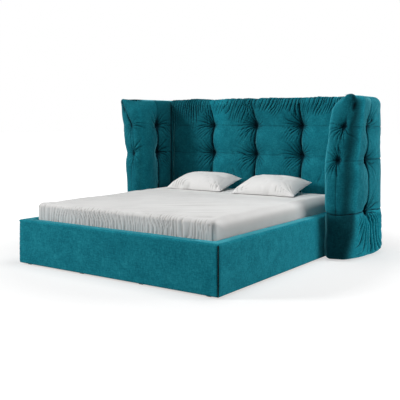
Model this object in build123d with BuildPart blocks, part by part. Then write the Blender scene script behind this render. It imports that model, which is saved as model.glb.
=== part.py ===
"""Winged ottoman bed with a lift-up base: rails, headboard, storage, lift frame, linkage and bedding."""

from build123d import *
import os
from math import atan2, ceil, cos, degrees, exp, hypot, radians, sin, sqrt

os.makedirs("parts", exist_ok=True)

# Bed opening and rails, in millimetres
sleeping_width = 1800
sleeping_length = 2000
rail_gap = 3
rail_thickness = 100
rail_top = 371
ground_gap = 12
cover_side = 9
cover_top = 14
cover_roll = 16
groove_width = 7
groove_depth = 14
groove_top_drop = 6
core_pocket_width = 46
core_block_length = 40
core_pocket_pitch = 240
core_sole = 40

# Headboard and wings
overall_height = 1420
crest_gap = 22
cushion_depth = 150
cushion_seam_depth = 95
cushion_tuft_depth = 140
cushion_half_width = 1037
cushion_seat_gap = 3
board_thickness = 25
batten_thickness = 25
batten_width = 60
back_panel_thickness = 5
board_top_drop = 40
channel_count = 4
wing_reach = 1306
wing_inner_low = 1005
wing_inner_lean = 113
wing_outer_low = 1195
wing_outer_lean = 130
wing_front = 435
wing_corner_setback = 28
wing_corner_inset = 8
wing_seam_dip = 20
wing_tuft_dip = 34
wing_column = 785
wing_inner_column_depth = 62
wing_outer_column_depth = 14
wing_pinch_depth = 26
channel_runs = 7
column_runs = 2
side_runs = 4
front_runs = 4
rear_runs = 3
pillow_top_runs = 6
pillow_under_runs = 3
wing_rear_radius = 80
wing_lean_start = 640
wing_end_draw = 24
tuft_rows = (404, 856, 1146)
tuft_reach = 70
tuft_shares = (-1.2, 0, 1.2)
end_roll = 50
roll_shares = (0, 0.3, 1)
cushion_row_dip = 12
cushion_end_draw = 45
wing_root_clearance = 0.5
wing_root_length = 125
wing_core_inner = 1130
wing_core_thickness = 40
wing_core_front = 120
wing_core_top_drop = 120
wing_core_radius = 90
wing_inner_lean_power = 1.5
wing_outer_lean_power = 0.6
wing_bolt_shares = (0.12, 0.45, 0.78)

# Storage
head_panel_thickness = 18
head_rib_width = 30
floor_batten_height = 18
floor_batten_width = 60
floor_batten_count = 5
floor_panel_thickness = 6
floor_panel_count = 3
panel_gap = 1
side_gap = 6
ledge_width = 45
ledge_height = 42
ledge_run = 1000
pad_thickness = 3
pad_size = 40
pad_side_shares = (0.15, 0.5, 0.85)
pad_foot_shares = (-0.7, 0, 0.7)
bracket_leg = 70
bracket_thickness = 4
bracket_height = 110
bracket_bottom = 60
bracket_bolt_share = 0.62
bracket_height_shares = (0.25, 0.75)
glide_size = 40
glide_inset = 60
glide_chamfer = 4
glide_foot_shares = (-0.9, -0.3, 0.3, 0.9)
glide_side_shares = (0.3, 0.6, 0.93)
glide_floor_shares = (-0.5, 0.5)
glide_head_shares = (-0.5, 0.5)

# Lift frame and slats
frame_bottom = 262
frame_tube_width = 40
frame_tube_height = 30
frame_tube_wall = 2
frame_outer_half = 878
frame_foot_gap = 13
frame_head_gap = 8
brace_width = 30
brace_height = 16
foot_brace_setback = 320
cap_thickness = 3
slat_count = 14
slat_width = 60
slat_thickness = 9
slat_rise = 8
slat_end_gap = 4
slat_runs = 6
holder_length = 42
holder_wall = 3
holder_play = 0.5
seat_gap = 0.3

# Lift mechanism, measured from the head end of the sleeping place
lift_angle = 35
front_swing = 48
front_base_setback = 904
front_base_height = 62
front_lift_setback = 449
front_lift_drop = 90
rear_lift_setback = 386
rear_lift_drop = 0
strut_base_setback = 476
strut_base_height = 62
strut_lift_setback = 292
strut_lift_drop = 44
base_plate_thickness = 5
link_thickness = 4.5
rear_link_gap = 0.5
link_layer_gap = 1.5
top_plate_thickness = 6
front_eye = 23
rear_eye = 20
plate_boss = 25
strut_boss = 20
rib_height = 1
rib_share = 0.4
window_share = 0.45
window_radius = 16
stud_radius = 8
stud_collar = 15
stud_head = 12
stud_head_thickness = 2
stud_head_clearance = 0.3
running_clearance = 0.05
rear_play = 2.2
strut_stud_radius = 4
strut_play = 3.2
strut_offset = 16
strut_eye = 11
strut_eye_width = 10
strut_rod_eye = 14
cylinder_radius = 11
cylinder_bore = 9.5
cylinder_floor = 6
cylinder_start = 20
cylinder_length = 190
cylinder_chamfer = 1.5
guide_length = 12
neck_radius = 4.8
rod_radius = 4.5
piston_start = 40
piston_length = 10
piston_clearance = 0.08
bolt_radius = 5
bolt_sides = 12
bolt_head_radius = 9
bolt_head_height = 3.5
plate_bolt_radius = 3.5
plate_bolt_head = 6.5
bolt_end_gap = 6
top_bolt_shares = (-4, -2.2, 2.4)
top_bolt_height_share = 0.62
rail_bolt_depth = 60

# Bedding
lying_height = 499
sheet_thickness = 2
sheet_gap = 0.5
mattress_width = 1790
mattress_length = 1990
mattress_thickness = 197
mattress_corner = 45
mattress_edge = 30
mattress_foot_gap = 3.5
pillow_width = 660
pillow_depth = 420
pillow_thickness = 150
pillow_tip_thickness = 16
pillow_pull = 26
pillow_belly = 12
pillow_lift = 0.3
pillow_setback = 30
pillow_forward = (18, 4)
pillow_shares = (0.4, -0.49)
pillow_turns = (2, -1)
pillow_tilt = 6
pillow_length_shares = (-0.5, -0.41, -0.2, 0.2, 0.41, 0.5)
pillow_fullness_shares = (0, 0.5, 0.96, 0.96, 0.5, 0)

overrun = 50

# Places worked out from the sizes above; +Y is the head end, the origin is under the middle of the bed
overall_depth = (
    rail_thickness + rail_gap + sleeping_length + crest_gap + cushion_depth
    + board_thickness + batten_thickness + back_panel_thickness
)
foot_face = -overall_depth / 2
foot_inner = foot_face + rail_thickness
head_line = foot_inner + rail_gap + sleeping_length
crest_face = head_line + crest_gap
board_front = crest_face + cushion_depth
board_back = board_front + board_thickness
batten_back = board_back + batten_thickness
back_face = batten_back + back_panel_thickness
inner_half = sleeping_width / 2 + rail_gap
outer_half = inner_half + rail_thickness
core_thickness = rail_thickness - 2 * cover_side
core_top = rail_top - cover_top
storage_head = crest_face
floor_top = ground_gap + floor_batten_height + floor_panel_thickness
frame_top = frame_bottom + frame_tube_height
frame_foot = foot_inner + frame_foot_gap
frame_head = head_line - frame_head_gap
tube_inner_half = frame_outer_half - frame_tube_width
ledge_top = frame_bottom - pad_thickness
sheet_top = lying_height
mattress_top = sheet_top - sheet_thickness - sheet_gap
mattress_bottom = mattress_top - mattress_thickness
mattress_foot = foot_inner + mattress_foot_gap + sheet_thickness + sheet_gap
low_corner = (Align.MIN, Align.MIN, Align.MIN)


def bowed(start, middle, end, steps):
    """A shallow curve through three points, as short straight runs."""
    arc = ThreePointArc(start, middle, end, mode=Mode.PRIVATE)
    Polyline(*(arc @ (k / steps) for k in range(steps + 1)))


def save(piece, name):
    piece.label = name
    export_step(piece, f"parts/{name}.step")


def save_pair(right, name):
    """Writes a piece of the +X side and its mirror image."""
    save(right, f"{name}_right")
    with BuildPart() as left:
        mirror(right, about=Plane.YZ)
    save(left.part, f"{name}_left")


def block(low, high, mode=Mode.ADD):
    """A box between two corners, added to the part that is being built."""
    with Locations(tuple(low)):
        Box(*(b - a for a, b in zip(low, high)), align=low_corner, mode=mode)


def bolt_hole(place, depth):
    """A hole for a bolt's shank, from a plane down to a depth."""
    with BuildSketch(place) as hole:
        RegularPolygon(bolt_radius, bolt_sides)
    extrude(hole.sketch, amount=-depth, mode=Mode.SUBTRACT)


# Rail frames: timber boxes with pockets between blocks
def rail_core(low, high, along):
    length = high[along] - low[along]
    count = ceil(length / core_pocket_pitch)
    pitch = length / count
    across = 1 - along
    margin = (core_thickness - core_pocket_width) / 2
    with BuildPart() as core:
        block(low, high)
        for k in range(count):
            pocket_low, pocket_high = list(low), list(high)
            pocket_low[along] = low[along] + k * pitch + core_block_length / 2
            pocket_high[along] = low[along] + (k + 1) * pitch - core_block_length / 2
            pocket_low[across] += margin
            pocket_high[across] -= margin
            pocket_low[2] = ground_gap + core_sole
            pocket_high[2] = core_top + overrun
            block(pocket_low, pocket_high, mode=Mode.SUBTRACT)
    return core.part


foot_core_back = foot_inner - cover_side
core_outer = outer_half - cover_side
core_inner = inner_half + cover_side
rail_bolt_heights = (ground_gap + core_sole / 2, core_top - core_sole)
rail_bolt_x = (core_inner + core_outer) / 2

save(
    rail_core((-core_outer, foot_face + cover_side, ground_gap), (core_outer, foot_core_back, core_top), 0),
    "foot_rail_frame",
)

with BuildPart() as side_core:
    add(rail_core((core_inner, foot_core_back, ground_gap), (core_outer, board_front, core_top), 1))
    for height in rail_bolt_heights:
        bolt_hole(Plane(origin=(rail_bolt_x, board_front, height), z_dir=(0, 1, 0)), rail_bolt_depth)
save_pair(side_core.part, "side_rail_frame")


# Rail covers: an upholstered channel over the frame, mitred at the foot corners
def rail_cover(plane, length):
    middle = rail_thickness / 2
    with BuildPart() as cover:
        with BuildSketch(plane) as profile:
            with Locations((middle, ground_gap)):
                Rectangle(rail_thickness, rail_top - ground_gap, align=(Align.CENTER, Align.MIN))
            fillet(profile.vertices().group_by(Axis.Y)[-1], cover_roll)
            with Locations((middle, ground_gap)):
                Rectangle(
                    core_thickness, core_top - ground_gap, align=(Align.CENTER, Align.MIN), mode=Mode.SUBTRACT
                )
        extrude(amount=length)
    return cover.part


def corner_groove(side):
    """The dark groove at a foot corner, cut along the mitre."""
    with Locations(Location((side * outer_half, foot_face, 0), (0, 0, -side * 45))):
        Box(
            groove_width, 2 * groove_depth, rail_top - groove_top_drop,
            align=(Align.CENTER, Align.CENTER, Align.MIN), mode=Mode.SUBTRACT,
        )


with BuildPart() as foot_cover:
    add(rail_cover(Plane(origin=(-outer_half, foot_face, 0), x_dir=(0, 1, 0), z_dir=(1, 0, 0)), 2 * outer_half))
    for side in (-1, 1):
        split(bisect_by=Plane(origin=(side * outer_half, foot_face, 0), z_dir=(-side, -1, 0)), keep=Keep.TOP)
    for side in (-1, 1):
        corner_groove(side)
save(foot_cover.part, "foot_rail_cover")

with BuildPart() as side_cover:
    add(
        rail_cover(
            Plane(origin=(outer_half, foot_face, 0), x_dir=(-1, 0, 0), z_dir=(0, 1, 0)), board_front - foot_face
        )
    )
    split(bisect_by=Plane(origin=(outer_half, foot_face, 0), z_dir=(1, 1, 0)), keep=Keep.TOP)
    corner_groove(1)
save_pair(side_cover.part, "side_rail_cover")


# Head panel: the storage's head wall, stood off the headboard by ribs
with BuildPart() as head_panel:
    block(
        (-inner_half, storage_head, ground_gap), (inner_half, storage_head + head_panel_thickness, rail_top),
    )
    rib_pitch = (2 * inner_half - head_rib_width) / channel_count
    for k in range(channel_count + 1):
        rib_left = -inner_half + k * rib_pitch
        block(
            (rib_left, storage_head + head_panel_thickness, ground_gap),
            (rib_left + head_rib_width, board_front, rail_top),
        )
save(head_panel.part, "head_panel")


# Corner brackets and their bolts, at the four inner corners of the base
def at_corners(make):
    """Calls make(side, y, direction) for each inner corner; direction points into the storage."""
    for side in (-1, 1):
        for y, direction in ((foot_inner, 1), (storage_head, -1)):
            make(side, y, direction)


def bracket(side, y, direction):
    for reach_x, reach_y in ((bracket_leg, bracket_thickness), (bracket_thickness, bracket_leg)):
        x_ends = sorted((side * inner_half, side * (inner_half - reach_x)))
        y_ends = sorted((y, y + direction * reach_y))
        block(
            (x_ends[0], y_ends[0], bracket_bottom),
            (x_ends[1], y_ends[1], bracket_bottom + bracket_height),
        )


def bracket_bolts(side, y, direction):
    reach = bracket_leg * bracket_bolt_share
    for height_share in bracket_height_shares:
        height = bracket_bottom + bracket_height * height_share
        on_rail = Plane(
            origin=(side * (inner_half - bracket_thickness), y + direction * reach, height), z_dir=(-side, 0, 0)
        )
        on_cross = Plane(
            origin=(side * (inner_half - reach), y + direction * bracket_thickness, height),
            z_dir=(0, direction, 0),
        )
        for place in (on_rail, on_cross):
            with BuildSketch(place) as head:
                RegularPolygon(bolt_head_radius, 6)
            extrude(head.sketch, amount=bolt_head_height)


with BuildPart() as brackets:
    at_corners(bracket)
save(brackets.part, "corner_brackets")

with BuildPart() as bracket_heads:
    at_corners(bracket_bolts)
save(bracket_heads.part, "corner_bolts")


# Ledges that carry the closed lift frame, and their pads
with BuildPart() as ledge:
    block(
        (inner_half - ledge_width, foot_inner + bracket_leg, ledge_top - ledge_height),
        (inner_half, foot_inner + ledge_run, ledge_top),
    )
save_pair(ledge.part, "side_ledge")

with BuildPart() as foot_ledge:
    block(
        (-inner_half + bracket_leg, foot_inner, ledge_top - ledge_height),
        (inner_half - bracket_leg, foot_inner + ledge_width, ledge_top),
    )
save(foot_ledge.part, "foot_ledge")

with BuildPart() as pads:
    pad_inner = inner_half - ledge_width
    for side in (-1, 1):
        x_ends = sorted((side * pad_inner, side * frame_outer_half))
        for share in pad_side_shares:
            pad_y = foot_inner + bracket_leg + (ledge_run - bracket_leg) * share
            block((x_ends[0], pad_y, ledge_top), (x_ends[1], pad_y + pad_size, frame_bottom))
    for share in pad_foot_shares:
        pad_x = tube_inner_half * share
        block(
            (pad_x - pad_size / 2, frame_foot, ledge_top),
            (pad_x + pad_size / 2, foot_inner + ledge_width, frame_bottom),
        )
save(pads.part, "ledge_pads")


# Storage floor: cross battens between the side rails, and loose panels on them
floor_foot = foot_inner + side_gap
floor_head = storage_head - side_gap
batten_pitch = (floor_head - floor_foot - floor_batten_width) / (floor_batten_count - 1)
panel_half = inner_half - side_gap
with BuildPart() as floor_battens:
    for k in range(floor_batten_count):
        y = floor_foot + k * batten_pitch
        block(
            (-inner_half, y, ground_gap),
            (inner_half, y + floor_batten_width, ground_gap + floor_batten_height),
        )
save(floor_battens.part, "floor_battens")

panel_pitch = (floor_head - floor_foot + panel_gap) / floor_panel_count
for k in range(floor_panel_count):
    with BuildPart() as floor_panel:
        y = floor_foot + k * panel_pitch
        block(
            (-panel_half, y, ground_gap + floor_batten_height),
            (panel_half, y + panel_pitch - panel_gap, floor_top),
        )
    save(floor_panel.part, f"floor_panel_{k + 1}")


# Headboard: board, battens behind it, back panel
board_top = overall_height - board_top_drop
core_outer_face = wing_core_inner + wing_core_thickness
wing_bolt_y = board_front + board_thickness / 2
wing_bolt_heights = [ground_gap + (board_top - ground_gap) * share for share in wing_bolt_shares]
with BuildPart() as board:
    block((-wing_core_inner, board_front, ground_gap), (wing_core_inner, board_back, board_top))
    for side in (-1, 1):
        for height in rail_bolt_heights:
            bolt_hole(Plane(origin=(side * rail_bolt_x, board_back, height), z_dir=(0, 1, 0)), board_thickness)
        for height in wing_bolt_heights:
            bolt_hole(
                Plane(origin=(side * wing_core_inner, wing_bolt_y, height), z_dir=(side, 0, 0)), rail_bolt_depth
            )
save(board.part, "headboard_board")

with BuildPart() as battens:
    pitch = (2 * wing_core_inner - batten_width) / channel_count
    for k in range(channel_count + 1):
        x = -wing_core_inner + k * pitch
        block((x, board_back, ground_gap), (x + batten_width, batten_back, board_top))
save(battens.part, "headboard_battens")

with BuildPart() as back_panel:
    block((-core_outer_face, batten_back, ground_gap), (core_outer_face, back_face, board_top))
save(back_panel.part, "headboard_back_panel")


# Bolts that hold the side rails and the wings to the headboard
def headed_bolt(place, shank):
    """A hexagon bolt: the head stands out of the plane and the shank goes in behind it."""
    with BuildSketch(place) as head:
        RegularPolygon(bolt_head_radius, 6)
    extrude(head.sketch, amount=bolt_head_height)
    with BuildSketch(place) as shaft:
        RegularPolygon(bolt_radius, bolt_sides)
    extrude(shaft.sketch, amount=-shank)


with BuildPart() as headboard_bolts:
    for side in (-1, 1):
        for height in rail_bolt_heights:
            headed_bolt(
                Plane(origin=(side * rail_bolt_x, board_back, height), z_dir=(0, 1, 0)),
                board_thickness + rail_bolt_depth - bolt_end_gap,
            )
        for height in wing_bolt_heights:
            headed_bolt(
                Plane(
                    origin=(side * (core_outer_face - bolt_head_height), wing_bolt_y, height), z_dir=(side, 0, 0)
                ),
                wing_core_thickness + rail_bolt_depth - bolt_end_gap,
            )
save(headboard_bolts.part, "headboard_bolts")


# The padded forms: how far tufts and rounded ends draw them in at a height
def padded_levels(bottom, rows):
    """Heights of the sections: close together at the tuft rows and at both ends."""
    ends = [bottom + end_roll * share for share in roll_shares]
    ends += [overall_height - end_roll * share for share in roll_shares]
    return sorted(ends + [row + tuft_reach * share for row in rows for share in tuft_shares])


def pinch_at(height, rows):
    """1 at a row of tufts, falling to 0 away from it."""
    return max(exp(-(((height - row) / tuft_reach) ** 2)) for row in rows)


def draw_at(height, bottom):
    """1 at the top and bottom edge, 0 once the rounded end is passed."""
    inside = min(height - bottom, overall_height - height, end_roll) / end_roll
    return 1 - sqrt(inside * (2 - inside))


# Tufted headboard cushion: channels between sewn seams, drawn in at the rows of tufts
cushion_bottom = rail_top + cushion_seat_gap
channel_width = 2 * cushion_half_width / channel_count
with BuildPart() as headboard_cushion:
    for height in padded_levels(cushion_bottom, tuft_rows[1:]):
        pinch, draw = pinch_at(height, tuft_rows[1:]), draw_at(height, cushion_bottom)
        seam_y = crest_face + cushion_seam_depth + (cushion_tuft_depth - cushion_seam_depth) * pinch
        crest_y = crest_face + cushion_row_dip * pinch + cushion_end_draw * draw
        with BuildSketch(Plane.XY.offset(height)):
            with BuildLine():
                for k in range(channel_count):
                    left = -cushion_half_width + k * channel_width
                    bowed(
                        (left, seam_y), (left + channel_width / 2, crest_y), (left + channel_width, seam_y),
                        channel_runs,
                    )
                Polyline(
                    (cushion_half_width, seam_y), (cushion_half_width, board_front),
                    (-cushion_half_width, board_front), (-cushion_half_width, seam_y),
                )
            make_face()
    loft(ruled=True)
save(headboard_cushion.part, "headboard_cushion")


# Wing core: timber panel inside each wing
core_front = wing_front + wing_core_front
with BuildPart() as wing_core:
    with BuildSketch(Plane.YZ.offset(wing_core_inner)) as panel:
        with BuildLine():
            Polyline(
                (core_front, ground_gap), (batten_back, ground_gap),
                (batten_back, overall_height - wing_core_top_drop),
                (core_front, overall_height - wing_core_top_drop), close=True,
            )
        make_face()
        fillet(panel.vertices().group_by(Axis.Y)[-1], wing_core_radius)
    extrude(amount=wing_core_thickness)
    for height in wing_bolt_heights:
        face = Plane(origin=(core_outer_face, wing_bolt_y, height), z_dir=(1, 0, 0))
        bolt_hole(face, wing_core_thickness)
        with BuildSketch(face) as recess:
            RegularPolygon(bolt_head_radius, 6)
        extrude(recess.sketch, amount=-bolt_head_height, mode=Mode.SUBTRACT)
save_pair(wing_core.part, "wing_core")

# Wing cushion: bulges between a front seam, a tuft column on each face and the rounded rear corner
wing_root = cushion_half_width + wing_root_clearance
side_middle = (wing_front + wing_column) / 2
with BuildPart() as wing:
    for height in padded_levels(ground_gap, tuft_rows):
        pinch, draw = pinch_at(height, tuft_rows), draw_at(height, ground_gap)
        pull = wing_end_draw * draw
        inner_lean = max(0, (height - wing_lean_start) / (overall_height - wing_lean_start)) ** wing_inner_lean_power
        outer_lean = (height / overall_height) ** wing_outer_lean_power
        inner_x = wing_inner_low + wing_inner_lean * inner_lean + pull
        outer_x = wing_outer_low + wing_outer_lean * outer_lean - pull
        reach, front = wing_reach - pull, wing_front + pull
        seam = ((inner_x + outer_x) / 2, front + wing_seam_dip + (wing_tuft_dip - wing_seam_dip) * pinch)
        inner_corner = (inner_x + wing_corner_inset, front + wing_corner_setback)
        outer_corner = (outer_x, front + wing_corner_setback)
        inner_column = (
            max(inner_x, wing_root) + wing_inner_column_depth + wing_pinch_depth * (pinch - 1), wing_column
        )
        outer_column = (reach - wing_outer_column_depth - wing_pinch_depth * pinch, wing_column)
        rear_start = (reach - wing_outer_column_depth, back_face - wing_rear_radius - pull)
        rear_end = (rear_start[0] - wing_rear_radius, back_face - pull)
        rear_bend = (
            rear_end[0] + wing_rear_radius * sin(radians(45)),
            rear_start[1] + wing_rear_radius * sin(radians(45)),
        )
        root_front = (wing_root + pull, board_front - wing_root_length)
        with BuildSketch(Plane.XY.offset(height)):
            with BuildLine():
                root_bow = (root_front[0] + inner_column[0]) / 2 - wing_pinch_depth
                outer_bow = (outer_corner[0] + outer_column[0]) / 2 + wing_pinch_depth
                bowed(root_front, (root_bow, (root_front[1] + wing_column) / 2), inner_column, column_runs)
                bowed(inner_column, (inner_x, side_middle), inner_corner, side_runs)
                bowed(inner_corner, ((inner_corner[0] + seam[0]) / 2, front), seam, front_runs)
                bowed(seam, ((outer_corner[0] + seam[0]) / 2, front), outer_corner, front_runs)
                bowed(outer_corner, (outer_bow, side_middle), outer_column, side_runs)
                bowed(outer_column, (reach, (wing_column + rear_start[1]) / 2), rear_start, column_runs)
                bowed(rear_start, rear_bend, rear_end, rear_runs)
                Polyline(rear_end, (root_front[0], back_face - pull), root_front)
            make_face()
    loft(ruled=True)
    # The side rail and the headboard cushion press flat against the wing
    block(
        (0, 0, ground_gap - overrun),
        (outer_half + wing_root_clearance, back_face + overrun, rail_top + wing_root_clearance), mode=Mode.SUBTRACT,
    )
    block(
        (0, crest_face, ground_gap - overrun), (wing_root, back_face + overrun, overall_height + overrun),
        mode=Mode.SUBTRACT,
    )
    # Room for the core, the board's end and the panels behind it
    with BuildSketch(Plane.YZ.offset(wing_core_inner)) as core_room:
        with BuildLine():
            Polyline(
                (core_front, ground_gap - overrun), (back_face + overrun, ground_gap - overrun),
                (back_face + overrun, overall_height - wing_core_top_drop),
                (core_front, overall_height - wing_core_top_drop), close=True,
            )
        make_face()
        front_top = core_room.vertices().group_by(Axis.Y)[-1].sort_by(Axis.X)[0]
        fillet(front_top, wing_core_radius)
    extrude(amount=wing_core_thickness, mode=Mode.SUBTRACT)
    block(
        (wing_inner_low - overrun, board_front, ground_gap - overrun),
        (core_outer_face, back_face + overrun, board_top), mode=Mode.SUBTRACT,
    )
save_pair(wing.part, "wing_cushion")


# Glides under the rails, the floor battens, the headboard and the wings
def glide(x, y):
    with Locations((x, y, 0)):
        Box(glide_size, glide_size, ground_gap, align=(Align.CENTER, Align.CENTER, Align.MIN))


rail_middle = rail_thickness / 2
with BuildPart() as glides:
    for share in glide_foot_shares:
        glide(outer_half * share, foot_face + rail_middle)
    for side in (-1, 1):
        for share in glide_side_shares:
            glide(side * (outer_half - rail_middle), foot_face + (board_front - foot_face) * share)
        glide(side * (core_outer_face - wing_core_thickness / 2), core_front + glide_inset)
        glide(side * (core_outer_face - wing_core_thickness / 2), board_back - glide_inset)
    for k in range(floor_batten_count):
        for share in glide_floor_shares:
            glide(inner_half * share, floor_foot + k * batten_pitch + floor_batten_width / 2)
    for share in glide_head_shares:
        glide(inner_half * share, (board_front + batten_back) / 2)
    chamfer(glides.edges().group_by(Axis.Z)[0], glide_chamfer)
save(glides.part, "glides")


# Lift frame: rectangular tubes with open bores and end caps
def tube(low, high, along):
    """A rectangular tube between two corners, bored along one axis."""
    with BuildPart() as made:
        block(low, high)
        bore_low = [value + frame_tube_wall for value in low]
        bore_high = [value - frame_tube_wall for value in high]
        bore_low[along], bore_high[along] = low[along] - overrun, high[along] + overrun
        block(bore_low, bore_high, mode=Mode.SUBTRACT)
    return made.part


save_pair(
    tube(
        (tube_inner_half, frame_foot, frame_bottom), (frame_outer_half, frame_head, frame_top), 1
    ),
    "lift_side_tube",
)
save(
    tube(
        (-tube_inner_half, frame_foot, frame_bottom),
        (tube_inner_half, frame_foot + frame_tube_width, frame_top), 0,
    ),
    "lift_foot_tube",
)
save(
    tube(
        (-tube_inner_half, frame_head - frame_tube_width, frame_bottom),
        (tube_inner_half, frame_head, frame_top), 0,
    ),
    "lift_head_tube",
)
centre_half = frame_tube_width / 2
save(
    tube(
        (-centre_half, frame_foot + frame_tube_width, frame_bottom),
        (centre_half, frame_head - frame_tube_width, frame_top), 1,
    ),
    "lift_centre_tube",
)

brace_places = (head_line - rear_lift_setback, head_line - front_base_setback, foot_inner + foot_brace_setback)
with BuildPart() as braces:
    for side in (-1, 1):
        x_ends = sorted((side * centre_half, side * tube_inner_half))
        for y in brace_places:
            low = (x_ends[0], y - brace_width / 2, frame_bottom)
            high = (x_ends[1], y + brace_width / 2, frame_bottom + brace_height)
            add(tube(low, high, 0))
save(braces.part, "lift_cross_braces")

with BuildPart() as caps:
    for side in (-1, 1):
        x_ends = sorted((side * tube_inner_half, side * frame_outer_half))
        for y_ends in ((frame_foot - cap_thickness, frame_foot), (frame_head, frame_head + cap_thickness)):
            block((x_ends[0], y_ends[0], frame_bottom), (x_ends[1], y_ends[1], frame_top))
save(caps.part, "tube_end_caps")


# Sprung slats, bowed upwards, held in plastic holders
slat_crown = mattress_bottom - seat_gap
slat_end_top = slat_crown - slat_rise
slat_end_bottom = slat_end_top - slat_thickness
slat_start = centre_half + slat_end_gap
slat_end = tube_inner_half - slat_end_gap
slat_middle = (slat_start + slat_end) / 2
slat_first = frame_foot + frame_tube_width + slat_width
slat_pitch = (frame_head - frame_tube_width - slat_width - slat_first) / (slat_count - 1)

with BuildPart() as slats:
    for k in range(slat_count):
        front = Plane(origin=(0, slat_first + k * slat_pitch + slat_width / 2, 0), x_dir=(1, 0, 0), z_dir=(0, -1, 0))
        with BuildSketch(front):
            with BuildLine():
                bowed((slat_start, slat_end_top), (slat_middle, slat_crown), (slat_end, slat_end_top), slat_runs)
                bowed(
                    (slat_start, slat_end_bottom), (slat_middle, slat_crown - slat_thickness),
                    (slat_end, slat_end_bottom), slat_runs,
                )
                Line((slat_start, slat_end_top), (slat_start, slat_end_bottom))
                Line((slat_end, slat_end_top), (slat_end, slat_end_bottom))
            make_face()
        extrude(amount=slat_width)
save_pair(slats.part, "slats")


def slat_rise_at(reach):
    """How far a slat's top rises above its end, a distance in from the end."""
    half = (slat_end - slat_start) / 2
    radius = (half**2 + slat_rise**2) / (2 * slat_rise)
    return (radius**2 - (half - reach) ** 2) ** 0.5 - (radius - slat_rise)


holder_mouth = slat_rise_at(holder_length)
with BuildPart() as holders:
    outer_low = slat_end_bottom - holder_play - holder_wall
    outer_high = slat_end_top + holder_mouth + holder_play + holder_wall
    for k in range(slat_count):
        y = slat_first + k * slat_pitch
        for side in (-1, 1):
            for web, inward in ((centre_half, 1), (tube_inner_half, -1)):
                x_ends = sorted((side * web, side * (web + inward * holder_length)))
                room_start = web + inward * (slat_end_gap - holder_play)
                room_end = web + inward * (holder_length + overrun)
                room = sorted((side * room_start, side * room_end))
                block((x_ends[0], y - slat_width / 2, outer_low), (x_ends[1], y + slat_width / 2, outer_high))
                block(
                    (room[0], y - slat_width / 2 - overrun, outer_low + holder_wall),
                    (room[1], y + slat_width / 2 + overrun, outer_high - holder_wall), mode=Mode.SUBTRACT,
                )
save(holders.part, "slat_holders")


# Lift mechanism: pivots as (y, z) points in the plane of a side rail
def turned(point, centre, angle):
    """A (y, z) point turned about a centre by an angle in degrees."""
    dy, dz = point[0] - centre[0], point[1] - centre[1]
    c, s = cos(radians(angle)), sin(radians(angle))
    return centre[0] + c * dy - s * dz, centre[1] + s * dy + c * dz


def distance(a, b):
    return hypot(b[0] - a[0], b[1] - a[1])


def heading(a, b):
    return degrees(atan2(b[1] - a[1], b[0] - a[0]))


front_base = (head_line - front_base_setback, front_base_height)
front_lift = (head_line - front_lift_setback, frame_bottom - front_lift_drop)
rear_lift = (head_line - rear_lift_setback, frame_bottom - rear_lift_drop)
strut_base = (head_line - strut_base_setback, strut_base_height)
strut_lift = (head_line - strut_lift_setback, frame_bottom - strut_lift_drop)


def lifted(point, share):
    """Where a point of the lift frame is when the lift is a share of the way up."""
    pivot = turned(front_lift, front_base, front_swing * share)
    beside = turned(point, front_lift, -lift_angle * share)
    return pivot[0] + beside[0] - front_lift[0], pivot[1] + beside[1] - front_lift[1]


# The rear link's fixed pivot is the centre of the circle through three places of its moving pivot
rear_path = [lifted(rear_lift, share) for share in (0, 0.5, 1)]
rear_circle = ThreePointArc(*rear_path).arc_center
rear_base = (rear_circle.X, rear_circle.Y)
rear_swing = heading(rear_base, rear_path[2]) - heading(rear_base, rear_path[0])
rear_ratio = rear_swing / front_swing

strut_closed = distance(strut_base, strut_lift)
strut_open = distance(strut_base, lifted(strut_lift, 1))
strut_heading = heading(strut_base, strut_lift)
strut_swing = heading(strut_base, lifted(strut_lift, 1)) - strut_heading
strut_ratio = strut_swing / front_swing
stroke_ratio = (strut_open - strut_closed) / radians(front_swing)


def misfit(share):
    """Distances by which the two opened pivots stand off their true places part of the way up."""
    rear_end = turned(rear_lift, rear_base, rear_swing * share)
    angle = radians(strut_heading + strut_swing * share)
    reach = strut_closed + (strut_open - strut_closed) * share
    strut_end = (strut_base[0] + reach * cos(angle), strut_base[1] + reach * sin(angle))
    return distance(rear_end, lifted(rear_lift, share)), distance(strut_end, lifted(strut_lift, share))


base_plate_face = inner_half - base_plate_thickness
rear_link_outer = base_plate_face - rear_link_gap
rear_link_inner = rear_link_outer - link_thickness
front_link_outer = rear_link_inner - link_layer_gap
front_link_inner = front_link_outer - link_thickness
top_plate_inner = frame_outer_half
top_plate_outer = top_plate_inner + top_plate_thickness
strut_x = top_plate_inner - strut_offset
strut_stud_inner = strut_x - strut_eye_width / 2 - bolt_head_height


def cylinder_along_x(point, x_start, x_end, radius, mode=Mode.ADD):
    """A round bar across the bed at a (y, z) point."""
    with BuildSketch(Plane.YZ.offset(x_start)) as disc:
        with Locations(point):
            Circle(radius)
    extrude(disc.sketch, amount=x_end - x_start, mode=mode)


def prism_along_x(point, x_start, x_end, radius, sides, mode=Mode.ADD):
    """A bar with flat sides across the bed at a (y, z) point."""
    with BuildSketch(Plane.YZ.offset(x_start)) as outline:
        with Locations(point):
            RegularPolygon(radius, sides)
    extrude(outline.sketch, amount=x_end - x_start, mode=mode)


def between(a, b, share):
    return a[0] + (b[0] - a[0]) * share, a[1] + (b[1] - a[1]) * share


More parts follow.
